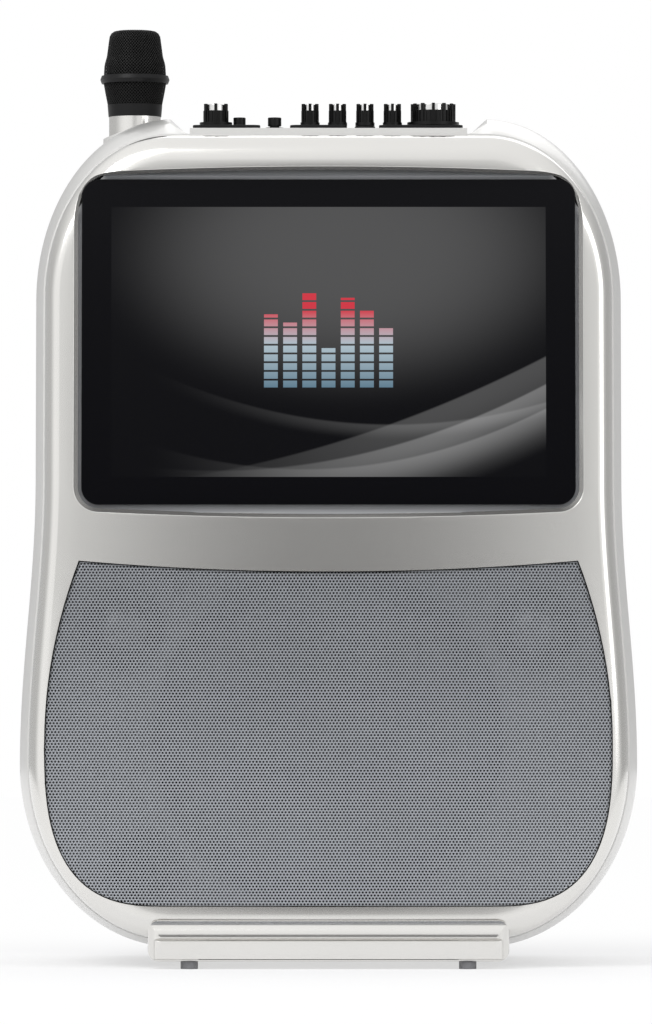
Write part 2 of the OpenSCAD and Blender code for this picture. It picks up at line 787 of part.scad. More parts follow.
module woofer_surround() {
    roll = (surround_r - cone_r) / 2;
    mid = (surround_r + cone_r) / 2;
    color([0.05, 0.05, 0.05])
    at_woofer() rotate_extrude($fn = 96) polygon(concat(
        [for (i = [0:8]) let (t = 180 - 180 * i / 8) [mid + roll * cos(t), -2 - 5.5 * sin(t)]],
        [for (i = [0:8]) let (t = 180 * i / 8) [mid + (roll - 1) * cos(t), -2 - 4.5 * sin(t) + 0.6]]
    ));
}
module dust_cap() {
    color([0.1, 0.1, 0.1])
    at_woofer() rotate_extrude($fn = 64) polygon(concat(
        [for (i = [0:6]) let (t = 90 * i / 6) [cap_r * sin(t), cap_seat - 9 * cos(t)]],
        [for (i = [6:-1:0]) let (t = 90 * i / 6) [(cap_r - 1.2) * sin(t), cap_seat + 0.4 - 8 * cos(t)]]
    ));
}

// Tweeters, their domes and the bass port
module at_tweeters() {
    on_face() for (side = [-1, 1])
        translate([side * tweeter_x, baffle_y, up_face(tweeter_z)]) rotate([-90, 0, 0]) children();
}
module at_tweeter_screws(z) {
    at_tweeters() for (a = [0:120:240]) rotate([0, 0, a + 90]) translate([tweeter_r - 2.9, 0, z]) children();
}
module tweeters() {
    color([0.1, 0.1, 0.11])
    difference() {
        at_tweeters() rotate_extrude($fn = 48) polygon([
            [tweeter_r, -flange_t], [tweeter_r, 0], [tweeter_r - 5.3, 0], [tweeter_r - 5.3, 22], [0, 22],
            [0, 2], [dome_r + 1.5, 2], [dome_r + 1.5, -1], [tweeter_r - 4, -flange_t]
        ]);
        at_tweeter_screws(-flange_t - 1) cylinder(r = pass_r, h = flange_t + 2, $fn = 24);
    }
}
module tweeter_domes() {
    color([0.55, 0.55, 0.58])
    at_tweeters() rotate_extrude($fn = 40) polygon(concat(
        [[0, 2]], [[dome_r, 2], [dome_r, 0.8]],
        [for (i = [5:-1:0]) let (t = 60 * i / 5) [(dome_r - 1) * sin(t) / sin(60), -1.5 - 4.2 * (cos(t) - cos(60)) / (1 - cos(60)) + 2]]
    ));
}
module at_port() {
    on_face() translate([port_x, baffle_y, up_face(port_z)]) rotate([-90, 0, 0]) children();
}
module bass_port() {
    color([0.07, 0.07, 0.07])
    at_port() rotate_extrude($fn = 48) polygon(concat(
        [[port_r + 3, 0], [port_r - 0.1, 0], [port_r - 0.1, 60], [port_r - 2.2, 60]],
        [for (i = [0:5]) let (t = 90 * i / 5) [port_r + 2.8 - 5 * cos(t), 4 - 6.5 * sin(t)]]
    ));
}

// Screen: cover glass, picture panel, its metal bracket and the boards
module at_screen() {
    on_face() translate([0, 0, up_face(glass_z)]) children();
}
module screen_glass() {
    color([0.03, 0.03, 0.035])
    at_screen() slab(glass_depth, glass_t) rounded(glass_w, glass_h, glass_r - gap);
}
module display_panel() {
    color([0.1, 0.1, 0.12])
    at_screen() slab(panel_y, panel_t) square([picture_w + 8, picture_h + 8], center = true);
}
// Outline of the bracket, kept inside the bezel's walls
module bracket_shape(w, h) {
    intersection() {
        rounded(w, h, 8);
        translate([0, -up_face(glass_z)]) rim_shape(wall + 2);
    }
}
module display_bracket() {
    w = glass_w + 2 * screen_frame - 6;
    h = glass_h + 2 * screen_frame - 6;
    color("lightsteelblue")
    difference() {
        at_screen() union() {
            slab(bracket_y, bracket_t) bracket_shape(w, h);
            slab(frame_back + 0.1, bracket_y - frame_back) difference() {
                bracket_shape(w, h);
                rounded(w - 10, h - 10, 6);
            }
            at_board_corners(bracket_y + bracket_t)
                cylinder(r = 3, h = board_y - bracket_y - bracket_t, $fn = 24);
        }
        at_screen() for (x = [-85, 85]) slab(bracket_y - 1, 5) translate([x, 0]) rounded(24, 90, 6);
    }
}
// Places its children at the corners of the main board, at depth y
module at_board_corners(y) {
    for (x = [-1, 1], z = [-1, 1])
        translate([x * (board_w / 2 - board_inset), y, z * (board_h / 2 - board_inset)])
            rotate([-90, 0, 0]) children();
}
module main_board() {
    color("darkgreen")
    at_screen() {
        difference() {
            slab(board_y, board_t) square([board_w, board_h], center = true);
            at_board_corners(board_y - 1) cylinder(r = 1.6, h = board_t + 2, $fn = 24);
        }
        translate([-20, board_y + board_t, -15]) cube([34, 6, 34]);
        translate([28, board_y + board_t, 8]) cube([18, 2, 18]);
        translate([-52, board_y + board_t, -30]) cube([14, 9, 40]);
    }
}
module power_supply() {
    color("olivedrab") {
        translate([-30, psu_y - board_t, 100]) cube([120, board_t, 34]);
        translate([-20, psu_y - board_t - 26, 104]) cube([34, 26, 26]);
        for (x = [30, 48])
            translate([x, psu_y - board_t, 117]) rotate([90, 0, 0]) cylinder(r = 7, h = 24, $fn = 32);
        for (x = [-26, 86], z = [104, 130])
            translate([x, psu_y, z]) rotate([-90, 0, 0]) cylinder(r = 3, h = rear_y - psu_y, $fn = 24);
    }
}

// Controls: board, potentiometers, knobs with silver caps, buttons
module control_board() {
    color("darkgreen")
    translate([-control_w / 2, row_y - control_deep / 2, control_board_z]) difference() {
        cube([control_w, control_deep, board_t]);
        for (x = [4, control_w - 4], y = [4, control_deep - 4])
            translate([x, y, -1]) cylinder(r = 1.6, h = board_t + 2, $fn = 24);
    }
}
module potentiometers() {
    base = control_board_z + board_t;
    color("slategray")
    for (k = knobs) translate([k[0], row_y, base]) difference() {
        union() {
            cylinder(r = pot_r, h = pot_h, $fn = 32);
            cylinder(r = bush_r, h = pad_z - 0.4 - base, $fn = 32);
        }
        translate([0, 0, 2]) cylinder(r = shaft_r + run, h = 40, $fn = 32);
    }
    color("slategray")
    for (x = button_xs) translate([x - 3, row_y - 3, base]) cube([6, 6, 5]);
}
// Black fluted knob with a skirt of radius skirt and n ribs that stand up as prongs
module knob(x, r, skirt, n) {
    under = pad_z + gap;
    body_h = knob_h - ring_h;
    base = control_board_z + board_t + 2.2;
    translate([x, row_y, 0]) {
        difference() {
            union() {
                translate([0, 0, under]) cylinder(r = skirt, h = skirt_t, $fn = 48);
                translate([0, 0, under + skirt_t]) cylinder(r = r - 0.5, h = body_h - skirt_t, $fn = 48);
                for (i = [0:n - 1]) rotate([0, 0, 360 * i / n - 90])
                    translate([r - 1.3, -rib_w / 2, under + 1]) cube([1.3, rib_w, knob_h - 1]);
                for (i = [0:3 * n - 1]) rotate([0, 0, 360 * i / (3 * n) - 90])
                    translate([r - 0.9, -0.35, under + 1]) cube([0.8, 0.7, body_h - 1]);
            }
            translate([0, 0, under + body_h - 2]) cylinder(r = r - 1.6, h = 10, $fn = 48);
        }
        translate([0, 0, base]) cylinder(r = shaft_r, h = under + 2 - base, $fn = 32);
    }
}
// Silver cap pressed into the top of a knob
module cap(x, r) {
    under = pad_z + gap + knob_h - ring_h - 2;
    translate([x, row_y, under]) {
        cylinder(r = r - 1.65, h = ring_h + 1.6, $fn = 48);
        translate([0, 0, ring_h + 1.6]) cylinder(r1 = r - 1.65, r2 = r - 2.2, h = 0.4, $fn = 48);
    }
}
module mic_volume_knob() { color([0.05, 0.05, 0.05]) knob(mic_knob_x, mic_knob_r, mic_knob_r + 1.7, 6); }
module mic_volume_cap() { color("silver") cap(mic_knob_x, mic_knob_r); }
module echo_knob() { color([0.05, 0.05, 0.05]) knob(small_xs[0], small_r, small_r + 0.3, 6); }
module echo_cap() { color("silver") cap(small_xs[0], small_r); }
module delay_knob() { color([0.05, 0.05, 0.05]) knob(small_xs[1], small_r, small_r + 0.3, 6); }
module delay_cap() { color("silver") cap(small_xs[1], small_r); }
module treble_knob() { color([0.05, 0.05, 0.05]) knob(small_xs[2], small_r, small_r + 0.3, 6); }
module treble_cap() { color("silver") cap(small_xs[2], small_r); }
module bass_knob() { color([0.05, 0.05, 0.05]) knob(small_xs[3], small_r, small_r + 0.3, 6); }
module bass_cap() { color("silver") cap(small_xs[3], small_r); }
module main_volume_knob() { color([0.05, 0.05, 0.05]) knob(main_knob_x, main_knob_r, main_knob_r + 1.8, 12); }
module main_volume_cap() { color("silver") cap(main_knob_x, main_knob_r); }
// Push button: a cap on a stem that ends above its key switch
module button(x, r) {
    key_z = control_board_z + board_t + 5;
    translate([x, row_y, 0]) {
        translate([0, 0, button_seat + button_travel + gap])
            cylinder(r = r, h = button_top - button_seat - button_travel - gap, $fn = 40);
        translate([0, 0, key_z + button_travel + gap])
            cylinder(r = stem_r, h = button_seat + 1 - key_z, $fn = 32);
    }
}
module play_button() { color([0.07, 0.07, 0.07]) button(button_xs[0], button_r[0]); }
module eject_button() { color([0.07, 0.07, 0.07]) button(button_xs[1], button_r[1]); }

// Microphone and its holder
module mic_holder() {
    color([0.1, 0.1, 0.1])
    translate([mic_x, mic_y, 0]) difference() {
        translate([0, 0, mic_foot_z - 3]) cylinder(r = holder_r, h = mic_neck_z - mic_foot_z + 3, $fn = 64);
        translate([0, 0, mic_foot_z - gap]) cylinder(r = mic_r + holder_gap, h = mic_len + 10, $fn = 64);
        // mouth cut along the slope of the shoulder
        translate([0, 0, holder_mouth_z]) rotate([0, -mouth_slope, 0])
            translate([-60, -60, 0]) cube([120, 120, 60]);
    }
}
module at_mic() {
    translate([mic_x, mic_y, 0]) children();
}
module mic_handle() {
    color("silver")
    at_mic() difference() {
        rotate_extrude($fn = 64) polygon([
            [0, mic_foot_z], [mic_foot_r - 1.5, mic_foot_z], [mic_foot_r, mic_foot_z + 1.5],
            [mic_r, mic_neck_z - 30], [mic_r, mic_neck_z], [0, mic_neck_z]
        ]);
        // recess of the slide switch
        translate([-3.5, -mic_r - 2, mic_neck_z - 62]) cube([7, 5, 20]);
    }
}
module mic_switch() {
    color([0.08, 0.08, 0.08])
    at_mic() translate([-3.2, -mic_r + 0.4, mic_neck_z - 61]) cube([6.4, 2.4, 10]);
}
module mic_grille() {
    color([0.09, 0.09, 0.09])
    at_mic() rotate_extrude($fn = 64) polygon(concat(
        [[0, head_z], [head_foot_r, head_z], [head_foot_r + 1.2, head_z + 6], [head_r - 1, band_z - band_t / 2],
         [head_r - 1, band_z + band_t / 2], [head_r - 1.4, band_z + 8], [head_r - 2.6, mic_neck_z + head_h - 13]],
        [for (i = [0:6]) let (t = 90 * i / 6)
            [head_r - 7.6 + 3.8 * cos(t), mic_neck_z + head_h - 4 + 4 * sin(t)]],
        [[0, mic_neck_z + head_h]]
    ));
}
module mic_rings() {
    color([0.04, 0.04, 0.04])
    at_mic() {
        rotate_extrude($fn = 64) polygon([
            [head_r - 0.9, band_z - band_t / 2], [head_r - 0.1, band_z - band_t / 2],
            [head_r + 0.6, band_z], [head_r - 0.1, band_z + band_t / 2], [head_r - 0.9, band_z + band_t / 2]
        ]);
        translate([0, 0, mic_neck_z]) cylinder(r1 = mic_r + 0.3, r2 = head_foot_r, h = neck_h, $fn = 64);
    }
}

// Rear: jack field, power inlet and rocker switch
module rear_jacks() {
    color([0.1, 0.1, 0.1])
    for (x = jack_xs) translate([x, 0, jack_z]) rotate([-90, 0, 0]) difference() {
        union() {
            translate([0, 0, rear_y - 12]) cylinder(r = jack_r + 2.8, h = 12, $fn = 32);
            translate([0, 0, rear_y]) cylinder(r = jack_r + 1.2, h = cover_t - 0.2, $fn = 32);
        }
        translate([0, 0, rear_y - 10]) cylinder(r = jack_r, h = 20, $fn = 32);
    }
}
module power_inlet() {
    color([0.12, 0.12, 0.12]) {
        translate([inlet_x, 0, inlet_z]) difference() {
            union() {
                slab(rear_y - 16, 16) rounded(inlet_w + 5, inlet_h + 5, 3);
                slab(rear_y - 0.2, cover_t) rounded(inlet_w - 0.4, inlet_h - 0.4, 3);
            }
            slab(rear_y - 12, 20) rounded(inlet_w - 5, inlet_h - 5, 3);
        }
        // housing of the rocker switch
        translate([switch_x, 0, inlet_z]) difference() {
            slab(rear_y - 14, 14 + cover_t - 0.6) rounded(switch_w - 0.4, switch_h - 0.4, 1);
            slab(rear_y - 8, 20) square([rocker_w + 2 * gap, rocker_h + 1.2], center = true);
            translate([-switch_w, rocker_y, 0]) rotate([0, 90, 0])
                cylinder(r = pin_r + run, h = 2 * switch_w, $fn = 24);
        }
        // three contacts
        for (p = [[-6, -2], [0, 3], [6, -2]])
            translate([inlet_x + p[0] - 1, rear_y - 12.5, inlet_z + p[1] - 2]) cube([2, 9, 4]);
    }
}
// Rocker with a dished face, rocking on pins at its sides
module power_switch() {
    color([0.08, 0.08, 0.08])
    translate([switch_x, rocker_y, inlet_z]) rotate([-rocker_tilt, 0, 0]) {
        rotate([90, 0, 90]) translate([0, 0, -rocker_w / 2]) linear_extrude(rocker_w) polygon([
            [-3.2, -2.6], [-3.2, 2.6], [1.5, rocker_h / 2 - 0.3], [2.1, rocker_h / 2 - 0.5], [1.3, 0],
            [2.1, 0.5 - rocker_h / 2], [1.5, 0.3 - rocker_h / 2]
        ]);
        translate([-rocker_w / 2 - 0.9, 0, 0]) rotate([0, 90, 0]) cylinder(r = pin_r, h = rocker_w + 1.8, $fn = 24);
    }
}

// Screws of the rear cover and of the speakers
module screw(h) {
    cylinder(r = screw_r, h = h, $fn = 24);
    difference() {
        translate([0, 0, h]) cylinder(r1 = screw_head_r, r2 = screw_head_r - 0.5, h = head_t, $fn = 24);
        for (a = [0, 90]) rotate([0, 0, a]) translate([-1.8, -0.4, h + head_t / 2]) cube([3.6, 0.8, 2]);
    }
}
module case_screws() {
    color("dimgray") at_cover_screws(1 - 2 * wall) screw(2 * wall);
}
module speaker_screws() {
    color("dimgray") {
        at_woofer_screws(4) rotate([180, 0, 0]) screw(4 + basket_t);
        at_tweeter_screws(1.5) rotate([180, 0, 0]) screw(1.5 + flange_t);
    }
}

// Disc drive: steel housing and the runners inside it
module drive_housing() {
    x = bay_x - gap;
    z0 = bar_low + 1.3;
    color("lightsteelblue")
    difference() {
        translate([-x, drive_front + gap, z0]) cube([2 * x, drive_back - drive_front - 2 * gap, bay_top - z0]);
        translate([-x + 0.8, drive_front - 1, z0 - 1])
            cube([2 * x - 1.6, drive_back - drive_front - 0.8, bay_top - z0 + 0.2]);
    }
}
// Runner profile along one side of the tray, opening inwards
module tray_rails() {
    x0 = tray_x - 1.2;
    x1 = bay_x - gap - 0.9;
    color([0.85, 0.85, 0.85])
    for (side = [-1, 1]) mirror([side < 0 ? 1 : 0, 0, 0]) difference() {
        translate([x0, drive_front + 1, bar_low + 1.4]) cube([x1 - x0, drive_back - drive_front - 3, 2.0 + 3.2 + 1.2]);
        translate([x0 - 1, drive_front, tray_z - 0.3]) cube([1 + 1.2 + 0.3, drive_back - drive_front, 3.4 + 0.6 - 0.8]);
    }
}
module tray_front() {
    color("silver")
    intersection() {
        bar_solid();
        translate([-tray_front_x, bar_y - 1, bar_low + 1.3])
            cube([2 * tray_front_x, 1 + panel_deep, crease_z - 0.4 - bar_low - 1.3]);
    }
}
module disc_tray() {
    color([0.16, 0.16, 0.17])
    difference() {
        union() {
            translate([-tray_x + 1.6, tray_y0, tray_z]) cube([2 * tray_x - 3.2, tray_len, tray_t]);
            translate([-tray_x, tray_y0, tray_z]) cube([2 * tray_x, tray_len, 2.6]);
        }
        translate([0, disc_y, dish_z]) cylinder(r = disc_r + 1.2, h = 10, $fn = 128);
        translate([0, disc_y, tray_z - 1]) cylinder(r = table_r + 1.2, h = 20, $fn = 64);
        // window of the pickup, open upwards over the sled
        translate([-window_w / 2, disc_y, tray_z - 1]) cube([window_w, window_end, 20]);
        // pocket of the sled, its rods, rack and gear
        translate([-sled_x - 2.5, sled_y - rack_half - 1, tray_z - 1])
            cube([2 * sled_x + 5 + 2 * gear_ro + 2, 2 * rack_half + sled_travel + 3, pocket_z - tray_z + 1]);
        // finger scoop at the front of the dish
        translate([0, disc_y - disc_r, dish_z]) cylinder(r = 14, h = 10, $fn = 48);
    }
}
module tray_plate() {
    color("silver")
    difference() {
        translate([-tray_x + 4, tray_y0 + 6, tray_z - 0.7]) cube([2 * tray_x - 8, tray_len - 12, 0.6]);
        translate([0, disc_y, tray_z - 2]) cylinder(r = 3, h = 4, $fn = 32);
    }
}
// Spindle motor on the plate, turntable on its shaft
module spindle_motor() {
    color("gray")
    translate([0, disc_y, tray_z - 0.1]) difference() {
        cylinder(r = 12, h = 2.4, $fn = 64);
        translate([0, 0, 0.6]) cylinder(r = 1.5 + run, h = 5, $fn = 32);
    }
}
module turntable() {
    color([0.1, 0.1, 0.1])
    translate([0, disc_y, 0]) rotate_extrude($fn = 64) polygon([
        [0, tray_z + 0.7], [1.5, tray_z + 0.7], [1.5, tray_z + 3.1], [table_r - 1, tray_z + 3.1],
        [table_r, tray_z + 3.8], [table_r, table_top], [7.3, table_top], [7.3, table_top + 0.9],
        [5.4, table_top + 1.7], [0, table_top + 1.7]
    ]);
}
// Straight-sided rack tooth, pointing along +X from the pitch line
module rack_tooth() {
    h = rack_module;
    w = rack_pitch / 4 - backlash / 2;
    s = h * tan(20);
    polygon([[-1.25 * h, -w - 1.25 * s], [0.9 * h, -w + 0.9 * s], [0.9 * h, w - 0.9 * s], [-1.25 * h, w + 1.25 * s]]);
}
// Pickup sled on two rods, moved by its rack and a small gear
module pickup_sled() {
    color([0.2, 0.2, 0.22])
    difference() {
        union() {
            translate([-sled_x, sled_y - sled_len / 2, tray_z + 0.2]) cube([2 * sled_x, sled_len, 2.9]);
            translate([-9, sled_y - 7, tray_z + 0.2]) cube([18, 7.8, 3.6]);
            translate([sled_x - 1, sled_y - rack_half, gear_z])
                cube([rack_line - 1.25 * rack_module - sled_x + 1 + 0.02, 2 * rack_half, gear_h]);
            for (y = tooth_ys) translate([rack_line, y, gear_z]) linear_extrude(gear_h) rack_tooth();
        }
        for (x = [-rod_x, rod_x])
            translate([x, sled_y - 30, rod_z]) rotate([-90, 0, 0]) cylinder(r = rod_r + run, h = 60, $fn = 32);
        translate([0, sled_y - 2, tray_z]) cylinder(r = 2.9, h = 10, $fn = 32);
    }
}
module pickup_lens() {
    color([0.3, 0.4, 0.6])
    translate([0, sled_y - 2, tray_z + 0.25]) union() {
        cylinder(r = 2.85, h = 3, $fn = 32);
        translate([0, 0, 2.9]) cylinder(r1 = 2.4, r2 = 1.8, h = 0.9, $fn = 32);
    }
}
module guide_rods() {
    color("silver") {
        for (x = [-rod_x, rod_x])
            translate([x, sled_y - rack_half - 0.5, rod_z]) rotate([-90, 0, 0])
                cylinder(r = rod_r, h = 2 * rack_half + sled_travel + 2, $fn = 32);
        translate([gear_x, gear_y, tray_z - 0.1]) cylinder(r = 1, h = pocket_z - tray_z + 0.1, $fn = 24);
    }
}
// Points of one side of an involute tooth, from the base circle to the tip
function involute(rb, t) = [rb * (cos(t) + t * PI / 180 * sin(t)), rb * (sin(t) - t * PI / 180 * cos(t))];
module sled_gear() {
    rb = gear_rp * cos(20);
    half = 90 / gear_teeth - backlash / 2 / gear_rp * 180 / PI / 2;
    tp = sqrt(pow(gear_rp / rb, 2) - 1) * 180 / PI;
    twist = half + (tan(20) * 180 / PI - 20);
    tip = gear_rp + 0.9 * rack_module;
    te = sqrt(pow(tip / rb, 2) - 1) * 180 / PI;
    root = gear_rp - 1.25 * rack_module;
    tooth = concat([[root * cos(twist), -root * sin(twist)]],
        [for (i = [0:4]) let (p = involute(rb, te * i / 4), c = cos(-twist), s = sin(-twist))
            [p[0] * c - p[1] * s, p[0] * s + p[1] * c]]);
    color("ivory")
    translate([gear_x, gear_y, gear_z]) linear_extrude(gear_h) difference() {
        union() {
            circle(r = root + 0.02, $fn = 48);
            for (i = [0:gear_teeth - 1]) rotate(180 + i * 360 / gear_teeth)
                polygon(concat(tooth, [for (i = [len(tooth) - 1:-1:0]) [tooth[i][0], -tooth[i][1]]]));
        }
        circle(r = 1 + run, $fn = 24);
    }
}

front_bezel();
rear_shell();
rear_cover();
control_deck();
control_pads();
base_stand();
rubber_feet();
speaker_grille();
baffle();
woofer_basket();
woofer_magnet();
woofer_cone();
woofer_surround();
dust_cap();
tweeters();
tweeter_domes();
bass_port();
screen_glass();
display_panel();
display_bracket();
main_board();
power_supply();
control_board();
potentiometers();
mic_holder();
rear_jacks();
power_inlet();
case_screws();
speaker_screws();
drive_housing();
tray_rails();
tray_front();
disc_tray();
tray_plate();
spindle_motor();
guide_rods();
turntable();
pickup_sled();
pickup_lens();
sled_gear();
mic_volume_knob();
mic_volume_cap();
echo_knob();
echo_cap();
delay_knob();
delay_cap();
treble_knob();
treble_cap();
bass_knob();
bass_cap();
main_volume_knob();
main_volume_cap();
play_button();
eject_button();
power_switch();
mic_handle();
mic_grille();
mic_rings();
mic_switch();
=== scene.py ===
"""Karaoke machine with a disc tray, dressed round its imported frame.

The frame gives every rigid piece its place. This script adds the studio, the
finishes and the finely curved pieces: the lacquered housing, the perforated
grille, the lit picture and the wire head of the microphone.
"""

import json
import logging
import math
from dataclasses import dataclass
from typing import Dict, Iterable, List, Optional, Sequence, Tuple, Union

import bmesh
import bpy
from mathutils import Matrix, Vector

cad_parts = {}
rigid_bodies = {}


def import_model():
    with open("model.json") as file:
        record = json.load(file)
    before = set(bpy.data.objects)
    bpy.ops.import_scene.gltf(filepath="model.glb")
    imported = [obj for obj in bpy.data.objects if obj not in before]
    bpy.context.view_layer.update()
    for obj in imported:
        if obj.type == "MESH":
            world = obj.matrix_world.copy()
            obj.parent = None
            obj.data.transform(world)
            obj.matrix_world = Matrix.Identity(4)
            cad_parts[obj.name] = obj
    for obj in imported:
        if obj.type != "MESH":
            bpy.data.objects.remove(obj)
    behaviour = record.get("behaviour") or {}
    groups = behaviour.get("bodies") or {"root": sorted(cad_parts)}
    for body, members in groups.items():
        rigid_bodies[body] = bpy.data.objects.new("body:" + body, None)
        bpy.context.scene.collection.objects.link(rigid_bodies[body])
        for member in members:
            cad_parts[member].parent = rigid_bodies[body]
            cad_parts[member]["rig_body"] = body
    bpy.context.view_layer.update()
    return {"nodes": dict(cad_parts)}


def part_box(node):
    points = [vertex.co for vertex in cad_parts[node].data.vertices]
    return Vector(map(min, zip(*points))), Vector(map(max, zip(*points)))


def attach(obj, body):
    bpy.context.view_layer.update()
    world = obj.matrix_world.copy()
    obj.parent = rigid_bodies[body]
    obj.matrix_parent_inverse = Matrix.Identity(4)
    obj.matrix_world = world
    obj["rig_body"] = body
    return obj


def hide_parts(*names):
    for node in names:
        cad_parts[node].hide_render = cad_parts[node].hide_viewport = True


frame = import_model()

LOG = logging.getLogger("karaoke")
MM = 0.001

Pair = Tuple[float, float]
Point = Tuple[float, float, float]
Colour = Point
Ring = List[Vector]
Value = Union["Shade", int, float]
Material = bpy.types.Material
Object = bpy.types.Object


class Shade:
    """A value on its way through a material, added up like a number."""

    def __init__(self, tree: "Tree", socket: bpy.types.NodeSocket) -> None:
        """Wraps one output socket of a tree."""
        self.tree = tree
        self.socket = socket

    def math(self, operation: str, *others: Value) -> "Shade":
        """Adds a Math node that starts from this value.

        Args:
            operation: the Math node's operation, such as "SINE".
            others: its second and third values.

        Returns:
            The result.
        """
        return self.tree.maths(operation, self, *others)

    def __add__(self, other: Value) -> "Shade":
        """Sum."""
        return self.math("ADD", other)

    __radd__ = __add__

    def __sub__(self, other: Value) -> "Shade":
        """Difference."""
        return self.math("SUBTRACT", other)

    def __rsub__(self, other: float) -> "Shade":
        """Difference from a number."""
        return self.tree.maths("SUBTRACT", other, self)

    def __mul__(self, other: Value) -> "Shade":
        """Product."""
        return self.math("MULTIPLY", other)

    __rmul__ = __mul__

    def __truediv__(self, other: Value) -> "Shade":
        """Quotient."""
        return self.math("DIVIDE", other)

    def __lt__(self, other: Value) -> "Shade":
        """1 where smaller."""
        return self.math("LESS_THAN", other)

    def __gt__(self, other: Value) -> "Shade":
        """1 where greater."""
        return self.math("GREATER_THAN", other)

    def __abs__(self) -> "Shade":
        """Size without its sign."""
        return self.math("ABSOLUTE")

    def step(self, low: float, high: float) -> "Shade":
        """Rises smoothly from 0 to 1.

        Args:
            low: where it starts to rise.
            high: where it reaches 1.

        Returns:
            The risen value.
        """
        node = self.tree.add(
            "ShaderNodeMapRange",
            {"interpolation_type": "SMOOTHSTEP"},
            {"Value": self, "From Min": low, "From Max": high},
        )
        return node["Result"]


class Outputs:
    """The outputs of a node, looked up by name or place."""

    def __init__(self, tree: "Tree", node: bpy.types.Node) -> None:
        """Keeps the node and its tree."""
        self.tree = tree
        self.node = node

    def __getitem__(self, key: Union[str, int]) -> Shade:
        """One output as a shade."""
        return Shade(self.tree, self.node.outputs[key])


class Tree:
    """A node tree in the making, of a material or of the world."""

    def __init__(self, owner: Union[Material, bpy.types.World]) -> None:
        """Empties the owner's tree.

        Args:
            owner: the material or world that gets the nodes.
        """
        owner.use_nodes = True
        self.owner = owner
        self.nodes = owner.node_tree.nodes
        self.links = owner.node_tree.links
        self.nodes.clear()

    def add(
        self,
        kind: str,
        settings: Optional[Dict[str, object]] = None,
        values: Optional[Dict[Union[str, int], object]] = None,
        stops: Sequence[Tuple[float, Colour]] = (),
    ) -> Outputs:
        """Adds one node.

        Args:
            kind: the node's type.
            settings: properties that are set before its sockets.
            values: numbers, colours or shades for its input sockets.
            stops: places and colours of a ramp.

        Returns:
            The node's outputs.
        """
        node = self.nodes.new(kind)
        for name, value in (settings or {}).items():
            setattr(node, name, value)
        for index, (place, colour) in enumerate(stops):
            ramp = node.color_ramp.elements
            element = ramp[index] if index < len(ramp) else ramp.new(place)
            element.position = place
            element.color = (*colour, 1.0)
        for key, value in (values or {}).items():
            socket = node.inputs[key]
            if isinstance(value, Shade):
                self.links.new(value.socket, socket)
            elif isinstance(value, tuple) and socket.type == "RGBA":
                socket.default_value = (*value, 1.0)
            else:
                socket.default_value = value
        return Outputs(self, node)

    def maths(self, operation: str, *values: Value) -> Shade:
        """Adds a Math node and gives its result."""
        return self.add(
            "ShaderNodeMath", {"operation": operation}, dict(enumerate(values))
        )[0]

    def place(
        self, centre: Point = (0, 0, 0), tilt: float = 0.0
    ) -> Outputs:
        """Gives X, Y and Z on the piece, in millimetres.

        Args:
            centre: the point that becomes zero, in millimetres.
            tilt: turn about X, in radians.

        Returns:
            The outputs X, Y and Z.
        """
        where = self.add("ShaderNodeTexCoord")["Object"]
        moved = self.add(
            "ShaderNodeMapping",
            {"vector_type": "TEXTURE"},
            {
                "Vector": where,
                "Location": tuple(c * MM for c in centre),
                "Rotation": (tilt, 0, 0),
                "Scale": (MM, MM, MM),
            },
        )["Vector"]
        return self.add("ShaderNodeSeparateXYZ", None, {"Vector": moved})

    def noise(self, scale: float, detail: float = 2.0) -> Shade:
        """Noise on the piece.

        Args:
            scale: bumps to the metre.
            detail: layers of finer noise.

        Returns:
            The noise, between 0 and 1.
        """
        where = self.add("ShaderNodeTexCoord")["Object"]
        return self.add(
            "ShaderNodeTexNoise", None, {"Vector": where, "Scale": scale, "Detail": detail}
        )["Fac"]

    def mix(self, mask: Value, low: object, high: object) -> Shade:
        """Mixes two colours: low where the mask is 0, high where it is 1."""
        return self.add(
            "ShaderNodeMix", {"data_type": "RGBA"}, {0: mask, 6: low, 7: high}
        )[2]

    def bump(self, height: Shade, distance: float, strength: float = 1.0) -> Shade:
        """Turns a height into a bumped normal.

        Args:
            height: the height, between 0 and 1.
            distance: how deep that is, in metres.
            strength: share of the bump that shows.

        Returns:
            The normal.
        """
        return self.add(
            "ShaderNodeBump", None,
            {"Height": height, "Distance": distance, "Strength": strength},
        )["Normal"]

    def skin(self, values: Dict[str, object]) -> None:
        """Ends the tree in a Principled shader with these values."""
        shader = self.add("ShaderNodeBsdfPrincipled", None, values)["BSDF"]
        self.add("ShaderNodeOutputMaterial", None, {"Surface": shader})


